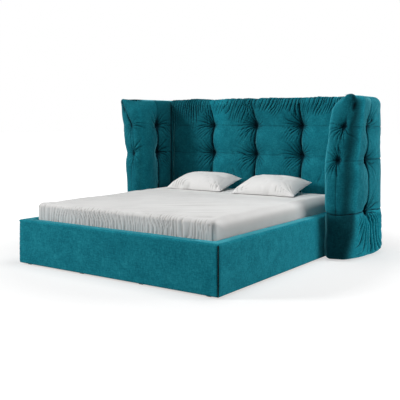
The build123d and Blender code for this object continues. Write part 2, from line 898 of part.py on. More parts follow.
base_triangle = (front_base, rear_base, strut_base)
base_middle = (sum(p[0] for p in base_triangle) / 3, sum(p[1] for p in base_triangle) / 3)
base_bolt_places = [
    between(a, b, 0.5) for a, b in ((front_base, rear_base), (rear_base, strut_base), (front_base, strut_base))
]
with BuildPart() as base_plate:
    with BuildSketch(Plane.YZ.offset(base_plate_face)):
        for point, boss in zip(base_triangle, (plate_boss, plate_boss, strut_boss)):
            with Locations(point):
                Circle(boss)
        make_hull()
    extrude(amount=base_plate_thickness)
    with BuildSketch(Plane.YZ.offset(base_plate_face)) as window:
        for point in base_triangle:
            with Locations(between(base_middle, point, window_share)):
                Circle(window_radius)
        make_hull()
    extrude(window.sketch, amount=base_plate_thickness, mode=Mode.SUBTRACT)
    for point in base_bolt_places:
        prism_along_x(point, base_plate_face, inner_half, plate_bolt_radius, bolt_sides, mode=Mode.SUBTRACT)
save_pair(base_plate.part, "base_plate")

top_bolt_places = [
    (rear_lift[0] + plate_boss * share, frame_bottom + frame_tube_height * top_bolt_height_share)
    for share in top_bolt_shares
]
with BuildPart() as top_plate:
    with BuildSketch(Plane.YZ.offset(top_plate_inner)):
        for point, boss in (
            (front_lift, plate_boss), (rear_lift, plate_boss), (strut_lift, strut_boss),
            (top_bolt_places[0], stud_head), (top_bolt_places[2], stud_head),
        ):
            with Locations(point):
                Circle(boss)
        make_hull()
        with Locations((rear_lift[0], frame_top)):
            Rectangle(2 * sleeping_length, overrun, align=(Align.CENTER, Align.MIN), mode=Mode.SUBTRACT)
    extrude(amount=top_plate_thickness)
    for point in top_bolt_places:
        prism_along_x(point, top_plate_inner, top_plate_outer, plate_bolt_radius, bolt_sides, mode=Mode.SUBTRACT)
save_pair(top_plate.part, "top_plate")


def link(a, b, eye, inner, hole_a, hole_b):
    """A flat link with a raised rib, and at each end a hole and a recess for the stud's flush head."""
    outer = inner + link_thickness
    with BuildPart() as made:
        with BuildSketch(Plane.YZ.offset(inner)):
            for point in (a, b):
                with Locations(point):
                    Circle(eye)
            make_hull()
        extrude(amount=link_thickness)
        rib_reach = 2 * eye / distance(a, b)
        with BuildSketch(Plane.YZ.offset(inner)) as rib:
            for share in (rib_reach, 1 - rib_reach):
                with Locations(between(a, b, share)):
                    RegularPolygon(eye * rib_share, 6)
            make_hull()
        extrude(rib.sketch, amount=-rib_height)
        cylinder_along_x(a, inner, outer, hole_a, mode=Mode.SUBTRACT)
        cylinder_along_x(b, inner, outer, hole_b, mode=Mode.SUBTRACT)
        recess_a = stud_head + hole_a - stud_radius + stud_head_clearance
        recess_b = stud_head + hole_b - stud_radius + stud_head_clearance
        cylinder_along_x(a, inner, inner + stud_head_thickness, recess_a, mode=Mode.SUBTRACT)
        cylinder_along_x(b, outer - stud_head_thickness, outer, recess_b, mode=Mode.SUBTRACT)
    return made.part


pivot_hole = stud_radius + running_clearance
save_pair(link(front_base, front_lift, front_eye, front_link_inner, pivot_hole, pivot_hole), "front_link")
save_pair(link(rear_base, rear_lift, rear_eye, rear_link_inner, pivot_hole, stud_radius + rear_play), "rear_link")

# Studs riveted to the plates: a collar spaces the link off, the shank carries it, and the head lies
# flush in the link, because the front link swings across the rear link's pivot
with BuildPart() as base_studs:
    for point, inner in ((front_base, front_link_inner), (rear_base, rear_link_inner)):
        prism_along_x(point, inner + link_thickness, base_plate_face, stud_collar, 6)
        cylinder_along_x(point, inner + stud_head_thickness, inner + link_thickness, stud_radius)
        cylinder_along_x(point, inner, inner + stud_head_thickness, stud_head)
    cylinder_along_x(strut_base, strut_stud_inner + bolt_head_height, base_plate_face, strut_stud_radius)
    prism_along_x(strut_base, strut_stud_inner, strut_stud_inner + bolt_head_height, plate_bolt_head, 6)
save_pair(base_studs.part, "base_studs")

with BuildPart() as lift_studs:
    for point, inner in ((front_lift, front_link_inner), (rear_lift, rear_link_inner)):
        under_head = inner + link_thickness - stud_head_thickness
        prism_along_x(point, top_plate_outer, inner, stud_collar, 6)
        cylinder_along_x(point, inner, under_head, stud_radius)
        cylinder_along_x(point, under_head, inner + link_thickness, stud_head)
    strut_head_end = strut_stud_inner + bolt_head_height
    cylinder_along_x(strut_lift, strut_head_end, top_plate_inner, strut_stud_radius)
    prism_along_x(strut_lift, strut_stud_inner, strut_head_end, plate_bolt_head + strut_play, 6)
save_pair(lift_studs.part, "lift_studs")


def plate_bolts(places, under_head, tip, head_end):
    """Bolts of one plate on both sides of the bed: a hexagon head on one face and a shank through the plate."""
    with BuildPart() as right:
        for point in places:
            prism_along_x(point, under_head, head_end, plate_bolt_head, 6)
            prism_along_x(point, under_head, tip, plate_bolt_radius, bolt_sides)
        mirror(about=Plane.YZ)
    return right.part


save(
    plate_bolts(base_bolt_places, base_plate_face, inner_half, base_plate_face - bolt_head_height),
    "base_plate_bolts",
)
save(
    plate_bolts(top_bolt_places, top_plate_outer, top_plate_inner, top_plate_outer + bolt_head_height),
    "top_plate_bolts",
)

# Gas strut: cylinder with a guided bore on the base stud, rod with its piston on the lift stud
strut_plane = Plane(
    origin=(strut_x, *strut_base),
    x_dir=(1, 0, 0),
    z_dir=(0, cos(radians(strut_heading)), sin(radians(strut_heading))),
)


def round_along(start, end, radius, mode=Mode.ADD):
    """A round stretch of the strut between two distances from the base stud."""
    with BuildSketch(strut_plane.offset(start)) as disc:
        Circle(radius)
    extrude(disc.sketch, amount=end - start, mode=mode)


half_eye = strut_eye_width / 2
with BuildPart() as strut_cylinder:
    round_along(cylinder_start, cylinder_start + cylinder_length, cylinder_radius)
    chamfer(strut_cylinder.edges().sort_by(Axis(strut_plane.origin, strut_plane.z_dir))[-1], cylinder_chamfer)
    round_along(0, cylinder_start, neck_radius)
    cylinder_along_x(strut_base, strut_x - half_eye, strut_x + half_eye, strut_eye)
    cylinder_along_x(
        strut_base, strut_x - overrun, strut_x + overrun, strut_stud_radius + running_clearance, mode=Mode.SUBTRACT
    )
    cylinder_end = cylinder_start + cylinder_length
    round_along(cylinder_start + cylinder_floor, cylinder_end - guide_length, cylinder_bore, mode=Mode.SUBTRACT)
    round_along(
        cylinder_end - 2 * guide_length, cylinder_end + overrun, rod_radius + running_clearance,
        mode=Mode.SUBTRACT,
    )
save_pair(strut_cylinder.part, "strut_cylinder")

with BuildPart() as strut_rod:
    round_along(piston_start, piston_start + piston_length, cylinder_bore - piston_clearance)
    rod_end = strut_closed - (strut_rod_eye + strut_stud_radius + strut_play) / 2
    round_along(piston_start + piston_length, rod_end, rod_radius)
    cylinder_along_x(strut_lift, strut_x - half_eye, strut_x + half_eye, strut_rod_eye)
    cylinder_along_x(
        strut_lift, strut_x - overrun, strut_x + overrun, strut_stud_radius + strut_play, mode=Mode.SUBTRACT
    )
save_pair(strut_rod.part, "strut_rod")


# Mattress and fitted sheet: the sheet is the same form, larger by its own gap and cloth
def mattress_form(margin, depth, soften):
    """The mattress grown by a margin, down to a depth below its top, whose edge is softened as asked."""
    half = mattress_width / 2 + margin
    with BuildPart() as form:
        with BuildSketch(Plane.XY.offset(mattress_top + margin - depth)) as outline:
            with Locations((0, mattress_foot + mattress_length / 2)):
                Rectangle(2 * half, mattress_length + 2 * margin)
            fillet(outline.vertices(), mattress_corner + margin)
        extrude(amount=depth)
        soften(form.faces().sort_by(Axis.Z)[-1].edges(), mattress_edge + margin)
    return form.part


with BuildPart() as mattress:
    add(mattress_form(0, mattress_thickness, chamfer))
    chamfer(mattress.faces().sort_by(Axis.Z)[0].edges(), mattress_edge / 2)
save(mattress.part, "mattress")

with BuildPart() as fitted_sheet:
    add(mattress_form(sheet_gap + sheet_thickness, mattress_thickness - mattress_edge, fillet))
    add(mattress_form(sheet_gap, mattress_thickness, chamfer), mode=Mode.SUBTRACT)
save(fitted_sheet.part, "fitted_sheet")

# Pillows: a crowned form between two arcs, thin at the ends so that its corners are pointed
def pillow(x, y, turn, tilt):
    """A pillow whose middle lies over (x, y), turned about the vertical and tilted up at the back."""
    with BuildPart() as made:
        middle = Plane.YZ
        for share, full in zip(pillow_length_shares, pillow_fullness_shares):
            half_depth = pillow_depth / 2 - pillow_pull * full
            top = pillow_tip_thickness + (pillow_thickness - pillow_tip_thickness - pillow_belly) * full
            belly = -pillow_belly * full
            with BuildSketch(middle.offset(pillow_width * share)):
                with BuildLine():
                    bowed((-half_depth, 0), (0, top), (half_depth, 0), pillow_top_runs)
                    bowed((-half_depth, 0), (0, belly - pillow_tip_thickness / 4), (half_depth, 0), pillow_under_runs)
                make_face()
        loft(ruled=True)
    placed = made.part.moved(Location((x, y, 0), (tilt, 0, turn)))
    return placed.moved(Location((0, 0, sheet_top + pillow_lift - placed.bounding_box().min.Z)))


pillow_y = head_line - pillow_depth / 2 - pillow_setback
for name, share, forward, turn in zip(("right", "left"), pillow_shares, pillow_forward, pillow_turns):
    save(pillow(share * inner_half, pillow_y - forward, turn, pillow_tilt), f"pillow_{name}")

# Joint places and ratios for the record
print("front base pivot", [round(v, 3) for v in front_base])
print("front lift pivot", [round(v, 3) for v in front_lift])
print("rear base pivot", [round(v, 3) for v in rear_base])
print("strut base pivot", [round(v, 3) for v in strut_base])
print("strut direction", round(cos(radians(strut_heading)), 6), round(sin(radians(strut_heading)), 6))
print("platform ratio", round(-(front_swing + lift_angle) / front_swing, 6))
print("rear link ratio", round(rear_ratio, 6), "swing", round(rear_swing, 3))
print("strut ratio", round(strut_ratio, 6), "swing", round(strut_swing, 3))
print("stroke", round(strut_open - strut_closed, 3), "mm,", round(stroke_ratio / 1000, 6), "m per radian")
worst = [max(misfit(k / 20)[i] for k in range(21)) for i in (0, 1)]
print("opened pivots stand off by at most", [round(v, 2) for v in worst], "mm")
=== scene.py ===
# Ottoman bed: tufted velvet headboard with wings, padded rails, fitted sheet and two pillows.
import math

import bmesh
import bpy
import numpy as np
from mathutils import Matrix, Vector


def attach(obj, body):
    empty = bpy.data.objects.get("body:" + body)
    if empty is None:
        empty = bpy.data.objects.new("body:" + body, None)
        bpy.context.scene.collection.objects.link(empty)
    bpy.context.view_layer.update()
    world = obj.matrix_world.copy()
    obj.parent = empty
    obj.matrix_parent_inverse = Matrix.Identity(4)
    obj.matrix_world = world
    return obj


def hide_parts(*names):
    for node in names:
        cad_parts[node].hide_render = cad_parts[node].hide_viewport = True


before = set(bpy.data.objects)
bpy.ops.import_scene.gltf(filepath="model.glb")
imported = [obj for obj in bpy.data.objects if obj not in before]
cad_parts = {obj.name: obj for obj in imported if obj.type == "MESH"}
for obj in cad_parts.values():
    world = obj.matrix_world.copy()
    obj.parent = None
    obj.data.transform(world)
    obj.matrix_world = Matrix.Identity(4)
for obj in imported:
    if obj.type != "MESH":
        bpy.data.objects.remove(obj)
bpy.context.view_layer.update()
print("frame: %d nodes" % len(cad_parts))


# small tools that the forms share

def softNoise(x, y, seed=0):
    # smooth noise from -1 to 1, the same on every run
    table = np.random.default_rng(seed).uniform(-1, 1, (64, 64))
    x, y = np.broadcast_arrays(np.asarray(x, float), np.asarray(y, float))
    xi, yi = np.floor(x).astype(int), np.floor(y).astype(int)
    fx, fy = x - xi, y - yi
    fx, fy = fx * fx * (3 - 2 * fx), fy * fy * (3 - 2 * fy)
    low = table[xi % 64, yi % 64] * (1 - fx) + table[(xi + 1) % 64, yi % 64] * fx
    high = table[xi % 64, (yi + 1) % 64] * (1 - fx) + table[(xi + 1) % 64, (yi + 1) % 64] * fx
    return low * (1 - fy) + high * fy


def easeIn(x, low, high):
    t = np.clip((x - low) / (high - low), 0, 1)
    return t * t * (3 - 2 * t)


def easeOut(x, low, high):
    return 1 - easeIn(x, low, high)


def near(x, centre, width, power=2):
    # 1 at the centre, fading away on both sides
    return np.exp(-(np.abs(x - centre) / width) ** power)


def roundFold(phase, power=0.8):
    # rounded ridges between narrow valleys, 0 to 1
    return np.abs(np.sin(np.pi * phase)) ** power


def seamLine(distance, width, depth):
    # a sewn line that draws the cloth in
    return -depth * near(distance, 0, width)


def puckers(across, up, spots, reach, depth, folds, seed, towards=None):
    # folds that run out of each tuft, some strong and some weak, most of them towards one side
    total = np.zeros(np.broadcast(across, up).shape)
    for k, (a, b) in enumerate(spots):
        da, db = across - a, up - b
        r, angle = np.hypot(da, db), np.arctan2(db, da)
        wander = 0.45 * softNoise(np.cos(angle) * 3 + 7 * k, np.sin(angle) * 3 + r * 6, seed + k)
        turn = np.cos(angle) * 1.6 + 3 * k
        strength = 0.55 + 0.75 * softNoise(turn, np.sin(angle) * 1.6 + 5, seed + 40 + k)
        if towards is not None:
            strength = strength * (0.35 + 0.65 * (0.5 + 0.5 * np.cos(angle - towards)))
        bend = 0.35 * np.sin(r * 20 + k) * near(r, 0, 0.2)
        wave = roundFold(folds * angle / (2 * math.pi) + wander + bend, 0.5) - 0.74
        fade = (1 - near(r, 0, 0.022)) * near(r, 0, reach, 1.5)
        total += depth * np.clip(strength, 0.05, 1.4) * wave * fade
    return total


def gathers(across, below, spacing, reach, depth, seed, lean=0.3, stray=1.6):
    # fine folds that hang from a sewn edge
    phase = (across + lean * below) / spacing + stray * softNoise(across * 8, below * 6, seed)
    finer = (across + 1.6 * lean * below) / (0.58 * spacing) + softNoise(across * 9, below * 8, seed + 5)
    length = reach * (0.80 + 0.50 * softNoise(across * 11, 0 * below, seed + 1))
    fade = np.clip(1 - below / length, 0, 1) ** 0.8
    strength = 0.65 + 0.6 * softNoise(across * 14, below * 4, seed + 2)
    return depth * (strength * (roundFold(phase, 0.6) - 0.68) + 0.30 * (roundFold(finer) - 0.6)) * fade


def gridNormals(points, wrap):
    # outward where the columns run counter-clockwise seen from the rows' far end
    along = np.roll(points, -1, 1) - np.roll(points, 1, 1)
    if not wrap:
        along[:, 0], along[:, -1] = points[:, 1] - points[:, 0], points[:, -1] - points[:, -2]
    up = np.gradient(points, axis=0)
    normals = np.cross(along, up)
    return normals / np.maximum(np.linalg.norm(normals, axis=-1, keepdims=True), 1e-9)


def gridFaces(rows, cols, wrapCols=False):
    # four-sided faces over a grid of points; its columns may close on themselves
    r, c = np.meshgrid(np.arange(rows - 1), np.arange(cols if wrapCols else cols - 1), indexing="ij")
    nextCol = (c + 1) % cols
    corners = [r * cols + c, r * cols + nextCol, (r + 1) * cols + nextCol, (r + 1) * cols + c]
    return np.stack(corners, -1).reshape(-1, 4).tolist()


def blurred(points, spread, wrap):
    # smooths a grid of points both ways; its columns may close on themselves
    reach = int(3 * spread)
    weights = np.exp(-0.5 * (np.arange(-reach, reach + 1) / spread) ** 2)
    weights /= weights.sum()
    padded = np.pad(points, ((reach, reach), (0, 0), (0, 0)), mode="edge")
    points = sum(w * padded[k:k + points.shape[0]] for k, w in enumerate(weights))
    padded = np.pad(points, ((0, 0), (reach, reach), (0, 0)), mode="wrap" if wrap else "edge")
    return sum(w * padded[:, k:k + points.shape[1]] for k, w in enumerate(weights))


def hollows(points, normals, wrap, spans):
    # how far each point lies under the cloth around it, 0 to 1
    total = np.zeros(points.shape[:2])
    for spread, depth in spans:
        under = np.sum((blurred(points, spread, wrap) - points) * normals, -1)
        total = total + np.clip(under / depth, 0, 1)
    return np.clip(total, 0, 1)


def newObject(name, data):
    made = bpy.data.objects.new(name, data)
    bpy.context.scene.collection.objects.link(made)
    return made


def makePiece(name, points, faces, finish, body, creaseAngle=55, paintedShade=None, paintedLightShade=None):
    # the first attribute is painted shade, 0 to 1; the second is painted light and shade, paler above 0 and
    # darker below
    mesh = bpy.data.meshes.new(name)
    mesh.from_pydata(np.asarray(points).reshape(-1, 3).tolist(), [], faces)
    for label, values in (("paintedShade", paintedShade), ("paintedLightShade", paintedLightShade)):
        if values is not None:
            layer = mesh.attributes.new(label, "FLOAT", "POINT")
            layer.data.foreach_set("value", np.asarray(values, float).ravel())
    soft = bmesh.new()
    soft.from_mesh(mesh)
    bmesh.ops.remove_doubles(soft, verts=soft.verts, dist=2e-5)
    bmesh.ops.recalc_face_normals(soft, faces=soft.faces)
    soft.to_mesh(mesh)
    soft.free()
    mesh.polygons.foreach_set("use_smooth", [True] * len(mesh.polygons))
    mesh.set_sharp_from_angle(angle=math.radians(creaseAngle))
    mesh.materials.append(finish)
    piece = newObject(name, mesh)
    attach(piece, body)
    print("piece: %s, %d points" % (name, len(mesh.vertices)))
    return piece


def resample(line, step):
    # evenly spaced points along an open line
    line = np.asarray(line, float)
    length = np.concatenate([[0], np.cumsum(np.linalg.norm(np.diff(line, axis=0), axis=1))])
    places = np.linspace(0, length[-1], int(round(length[-1] / step)) + 1)
    return np.stack([np.interp(places, length, line[:, k]) for k in range(line.shape[1])], 1), places


def cornerArc(centre, radius, start, end, count=10):
    angles = np.radians(np.linspace(start, end, count))
    return [(centre[0] + radius[0] * math.cos(a), centre[1] + radius[1] * math.sin(a)) for a in angles]


# camera first, at the photograph's viewing angle
cameraSet = {"place": (3.499, -4.948, 1.204), "turn": 34.98, "lens": 61.03, "shiftUp": -0.2003}


def placeCamera():
    lens = bpy.data.cameras.new("viewCamera")
    lens.lens, lens.sensor_width, lens.shift_y = cameraSet["lens"], 36, cameraSet["shiftUp"]
    lens.clip_start, lens.clip_end = 0.1, 200
    camera = newObject("viewCamera", lens)
    camera.location = cameraSet["place"]
    camera.rotation_euler = (math.radians(90), 0, math.radians(cameraSet["turn"]))
    bpy.context.scene.camera = camera


placeCamera()
print("camera placed")


# finishes

def link(output, socket):
    output.id_data.links.new(output, socket)


def startFinish(name):
    finish = bpy.data.materials.new(name)
    finish.use_nodes = True
    nodes = finish.node_tree.nodes
    nodes.clear()
    out = nodes.new("ShaderNodeOutputMaterial")
    shader = nodes.new("ShaderNodeBsdfPrincipled")
    link(shader.outputs["BSDF"], out.inputs["Surface"])
    return finish, nodes, shader


def setInputs(node, values):
    for name, value in values.items():
        node.inputs[name].default_value = value


def placeNode(nodes, stretch=(1, 1, 1), turn=(0, 0, 0)):
    coords = nodes.new("ShaderNodeTexCoord")
    mapping = nodes.new("ShaderNodeMapping")
    setInputs(mapping, {"Scale": stretch, "Rotation": turn})
    link(coords.outputs["Object"], mapping.inputs["Vector"])
    return mapping.outputs["Vector"]


def noiseNode(nodes, place, scale, detail=4, rough=0.55, distortion=0):
    noise = nodes.new("ShaderNodeTexNoise")
    setInputs(noise, {"Scale": scale, "Detail": detail, "Roughness": rough, "Distortion": distortion})
    link(place, noise.inputs["Vector"])
    return noise.outputs["Fac"]


def rampNode(nodes, value, stops):
    ramp = nodes.new("ShaderNodeValToRGB")
    for k, (place, colour) in enumerate(stops):
        stop = ramp.color_ramp.elements[k] if k < 2 else ramp.color_ramp.elements.new(place)
        stop.position, stop.color = place, (*colour, 1)
    link(value, ramp.inputs["Fac"])
    return ramp.outputs["Color"]


def shadeFolds(nodes, colour, deepest):
    # cloth down in a crease gets less light and looks darker
    paintedShade = nodes.new("ShaderNodeAttribute")
    paintedShade.attribute_name = "paintedShade"
    shade = rampNode(nodes, paintedShade.outputs["Fac"], [(0.0, (1, 1, 1)), (1.0, deepest)])
    return mixValues(nodes, "MULTIPLY", colour, shade)


def paintLightShade(nodes, colour):
    # painted light and shade: above 0 the velvet is painted paler, below 0 darker
    paintedLightShade = nodes.new("ShaderNodeAttribute")
    paintedLightShade.attribute_name = "paintedLightShade"
    level = nodes.new("ShaderNodeMath")
    level.operation = "MULTIPLY_ADD"
    level.inputs[1].default_value, level.inputs[2].default_value = velvetSet["lightShadeStrength"], 1.0
    link(paintedLightShade.outputs["Fac"], level.inputs[0])
    shade = nodes.new("ShaderNodeVectorMath")
    shade.operation = "SCALE"
    link(colour, shade.inputs[0])
    link(level.outputs["Value"], shade.inputs["Scale"])
    return shade.outputs["Vector"]


def mixValues(nodes, kind, a, b, amount=1.0):
    mix = nodes.new("ShaderNodeMix")
    mix.data_type, mix.blend_type = "RGBA", kind
    mix.inputs["Factor"].default_value = amount
    link(a, mix.inputs["A"])
    link(b, mix.inputs["B"])
    return mix.outputs["Result"]


def bumpNode(nodes, height, strength, distance, under=None):
    bump = nodes.new("ShaderNodeBump")
    setInputs(bump, {"Strength": strength, "Distance": distance})
    link(height, bump.inputs["Height"])
    if under is not None:
        link(under, bump.inputs["Normal"])
    return bump.outputs["Normal"]


def unevenRoughness(nodes, shader, value, rough, spread):
    span = nodes.new("ShaderNodeMapRange")
    setInputs(span, {"To Min": max(0.05, rough - spread), "To Max": rough + spread})
    link(value, span.inputs["Value"])
    link(span.outputs["Result"], shader.inputs["Roughness"])


velvetSet = {
    "deep": (0.0008, 0.082, 0.116), "mid": (0.0050, 0.138, 0.180), "light": (0.0150, 0.214, 0.264),
    "sheen": 1.0, "sheenRough": 0.27, "sheenTint": (0.22, 0.82, 0.94), "rough": 0.9, "gloss": 0.08,
    "patchScale": 9.0, "mottleScale": 75.0, "fibreScale": 900.0, "threadScale": 260, "bump": 0.35,
    # the last two give the colour of the deepest painted shade and how strongly painted light and shade
    # change the velvet's colour
    "creaseShadeColour": (0.10, 0.14, 0.17), "lightShadeStrength": 0.65,
}


def velvetFinish(name, shade=1.0):
    # teal velvet: brushed patches, a mottled nap and a fine pile
    s = velvetSet
    finish, nodes, shader = startFinish(name)
    place = placeNode(nodes)
    patches = noiseNode(nodes, place, s["patchScale"], 5, 0.6, 0.4)
    mottle = noiseNode(nodes, place, s["mottleScale"], 6, 0.65)
    fine, thin = s["threadScale"], s["threadScale"] / 10
    warp = noiseNode(nodes, placeNode(nodes, (fine, fine, thin)), 1.0, 2, 0.5)
    weft = noiseNode(nodes, placeNode(nodes, (thin, thin, fine)), 1.0, 2, 0.5)
    grid = mixValues(nodes, "MIX", warp, weft, 0.5)
    brushed = mixValues(nodes, "MIX", patches, mottle, 0.58)
    tone = mixValues(nodes, "MIX", brushed, grid, 0.42)
    stops = ((0.36, "deep"), (0.64, "light"), (0.50, "mid"))
    colour = rampNode(nodes, tone, [(at, [shade * c for c in s[kind]]) for at, kind in stops])
    # painted light and shade: the point attributes paint the velvet paler or darker, and darker still in
    # creases
    creaseShadeColour = shadeFolds(nodes, paintLightShade(nodes, colour), s["creaseShadeColour"])
    link(creaseShadeColour, shader.inputs["Base Color"])
    fibre = noiseNode(nodes, place, s["fibreScale"], 2, 0.6)
    first = bumpNode(nodes, grid, 0.25, 0.0012)
    link(bumpNode(nodes, fibre, s["bump"], 0.0006, first), shader.inputs["Normal"])
    unevenRoughness(nodes, shader, mottle, s["rough"], 0.08)
    setInputs(shader, {
        "Specular IOR Level": s["gloss"], "Sheen Weight": s["sheen"],
        "Sheen Roughness": s["sheenRough"], "Sheen Tint": (*s["sheenTint"], 1),
    })
    return finish


def cottonFinish(name, low, high, weaveScale=700.0):
    # plain cotton: faint shade changes and a fine even weave
    finish, nodes, shader = startFinish(name)
    place = placeNode(nodes)
    cloudy = noiseNode(nodes, place, 5, 4, 0.5)
    colour = rampNode(nodes, cloudy, [(0.3, low), (0.7, high)])
    link(shadeFolds(nodes, colour, (0.55, 0.54, 0.53)), shader.inputs["Base Color"])
    thin = weaveScale * 0.1
    warp = noiseNode(nodes, placeNode(nodes, (weaveScale, thin, weaveScale)), 1.0, 2)
    weft = noiseNode(nodes, placeNode(nodes, (thin, weaveScale, weaveScale)), 1.0, 2)
    weave = mixValues(nodes, "MIX", warp, weft, 0.5)
    link(bumpNode(nodes, weave, 0.18, 0.0005), shader.inputs["Normal"])
    setInputs(shader, {"Roughness": 0.92, "Specular IOR Level": 0.15, "Sheen Weight": 0.08})
    return finish


def tickingFinish(name):
    # knitted ticking: small diamond quilting in an off-white cloth
    finish, nodes, shader = startFinish(name)
    first = nodes.new("ShaderNodeTexWave")
    second = nodes.new("ShaderNodeTexWave")
    for wave, turn in ((first, 45), (second, -45)):
        wave.wave_type, wave.bands_direction = "BANDS", "X"
        setInputs(wave, {"Scale": 26, "Distortion": 0.6})
        link(placeNode(nodes, (1, 1, 1), (0, 0, math.radians(turn))), wave.inputs["Vector"])
    quilt = mixValues(nodes, "MULTIPLY", first.outputs["Fac"], second.outputs["Fac"])
    fine = noiseNode(nodes, placeNode(nodes), 500, 3)
    colour = rampNode(nodes, fine, [(0.3, (0.62, 0.60, 0.56)), (0.7, (0.76, 0.74, 0.70))])
    link(colour, shader.inputs["Base Color"])
    under = bumpNode(nodes, quilt, 0.5, 0.004)
    link(bumpNode(nodes, fine, 0.3, 0.0006, under), shader.inputs["Normal"])
    shader.inputs["Roughness"].default_value = 0.9
    return finish


def woodFinish(name, low, high, grain=(1.2, 14, 14), rough=0.62):
    # grain runs along the axis whose stretch is smallest
    finish, nodes, shader = startFinish(name)
    place = placeNode(nodes, grain)
    rings = noiseNode(nodes, place, 2.2, 8, 0.62, 1.2)
    pores = noiseNode(nodes, placeNode(nodes, [g * 6 for g in grain]), 5, 3, 0.7)
    tone = mixValues(nodes, "MIX", rings, pores, 0.25)
    link(rampNode(nodes, tone, [(0.35, low), (0.65, high)]), shader.inputs["Base Color"])
    link(bumpNode(nodes, tone, 0.25, 0.001), shader.inputs["Normal"])
    unevenRoughness(nodes, shader, pores, rough, 0.1)
    return finish


def hardFinish(name, low, high, scale, rough, metal=0.0, bump=0.15, distance=0.0004, stretch=(1, 1, 1)):
    # painted, plated and moulded pieces: speckled colour, uneven roughness and a fine surface
    finish, nodes, shader = startFinish(name)
    place = placeNode(nodes, stretch)
    speckle = noiseNode(nodes, place, scale, 4, 0.6)
    clouds = noiseNode(nodes, place, scale / 20, 4, 0.55)
    tone = mixValues(nodes, "MIX", speckle, clouds, 0.5)
    link(rampNode(nodes, tone, [(0.35, low), (0.65, high)]), shader.inputs["Base Color"])
    link(bumpNode(nodes, speckle, bump, distance), shader.inputs["Normal"])
    unevenRoughness(nodes, shader, clouds, rough, 0.1)
    shader.inputs["Metallic"].default_value = metal
    return finish


finishes = {
    "velvet": velvetFinish("teal velvet"),
    "sheet_cotton": cottonFinish("white cotton", (0.74, 0.735, 0.725), (0.80, 0.795, 0.785)),
    "mattress_ticking": tickingFinish("knitted ticking"),
    "timber": woodFinish("planed softwood", (0.42, 0.25, 0.11), (0.66, 0.45, 0.24)),
    "slat_birch": woodFinish("sealed birch", (0.60, 0.42, 0.23), (0.78, 0.60, 0.38), (1.0, 22, 22), 0.4),
    "floor_board": hardFinish("dark faced board", (0.012, 0.012, 0.013), (0.030, 0.030, 0.031), 500, 0.6),
    "frame_steel": hardFinish("black powder coat", (0.012, 0.012, 0.013), (0.026, 0.026, 0.028), 900, 0.5,
                              bump=0.35),
    "bright_steel": hardFinish("zinc plate", (0.42, 0.42, 0.43), (0.62, 0.62, 0.64), 300, 0.32, metal=1.0,
                               bump=0.05),
    "black_plastic": hardFinish("moulded plastic", (0.014, 0.014, 0.014), (0.024, 0.024, 0.024), 700, 0.5,
                                bump=0.2),
    "felt_pad": hardFinish("pressed felt", (0.05, 0.05, 0.052), (0.11, 0.11, 0.112), 420, 0.95, bump=0.6,
                           distance=0.001),
}
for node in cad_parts.values():
    for place in node.material_slots:
        place.material = finishes[place.material.name.split(".")[0]]
print("finishes: %d" % len(finishes))


# headboard: four padded channels between sewn seams, drawn in by tufts where seams and rows cross
headboardSet = {
    "halfWidth": 1.0362, "front": 0.9625, "back": 1.1085, "bottom": 0.3755, "top": 1.4185, "step": 0.005,
    "lowRound": (0.03, 0.03), "topRound": (0.06, 0.065), "overLow": 1.3825, "frontRoom": 0.012,
    "channels": 4, "seamDepth": 0.078, "rows": (1.146, 0.856), "rowDip": 0.010, "rowReach": 0.075,
    "lineWidth": 0.0055, "lineDepth": 0.0011,
    "pitDepth": 0.062, "pitReach": 0.044, "funnelDepth": 0.034, "funnelReach": 0.12,
    "foldDepth": 0.034, "foldReach": 0.110, "foldCount": 20, "endFoldDepth": 0.006, "endFoldReach": 0.12,
    "dragDepth": 0.0075, "dragSpacing": 0.026, "slackDepth": 0.0045, "slackSpacing": 0.085,
    "gatherDepth": 0.0255, "gatherSpacing": 0.036, "gatherReach": 0.18, "firstSpacing": 0.030,
    "hollowSpans": ((1.6, 0.0026), (7.0, 0.014)),
    # painted light and shade across the board: (place, how much paler or darker)
    "lightShadeAcross": ((-0.80, -0.42), (-0.56, -0.20), (-0.49, 0.30), (-0.25, -0.04), (0.05, -0.06), (0.50, 0.0),
             (0.60, 0.14)),
}


def headboardSection():
    # front of the cushion from its lower back edge round to the sewn edge at the back of its top
    s = headboardSet
    low, top = s["lowRound"], s["topRound"]
    line = [(s["back"], s["bottom"])]
    line += cornerArc((s["front"] + low[0], s["bottom"] + low[1]), low, 270, 180)
    line += cornerArc((s["front"] + top[0], s["top"] - top[1]), top, 180, 90, 16)
    line += [(s["back"], s["top"])]
    return resample(line, s["step"])


def headboardHollow(x, z, below, share, seams):
    # how far the seams, the rows and the tufts draw the cover in
    s = headboardSet
    topFade = 0.12 + 0.88 * easeIn(below, 0.12, 0.34)
    depth = s["seamDepth"] * (0.42 * share ** 2.4 + 0.58 * share ** 14) * topFade
    depth = depth + s["rowDip"] * sum(near(z, row, s["rowReach"]) for row in s["rows"])
    for row in s["rows"]:
        for seam in seams:
            r = np.hypot(x - seam, 1.15 * (z - row))
            depth = depth + s["pitDepth"] * near(r, 0, s["pitReach"], 1.3)
            depth = depth + s["funnelDepth"] * near(r, 0, s["funnelReach"])
    room = s["back"] - s["front"] - 0.004
    return room * np.tanh(depth / room)


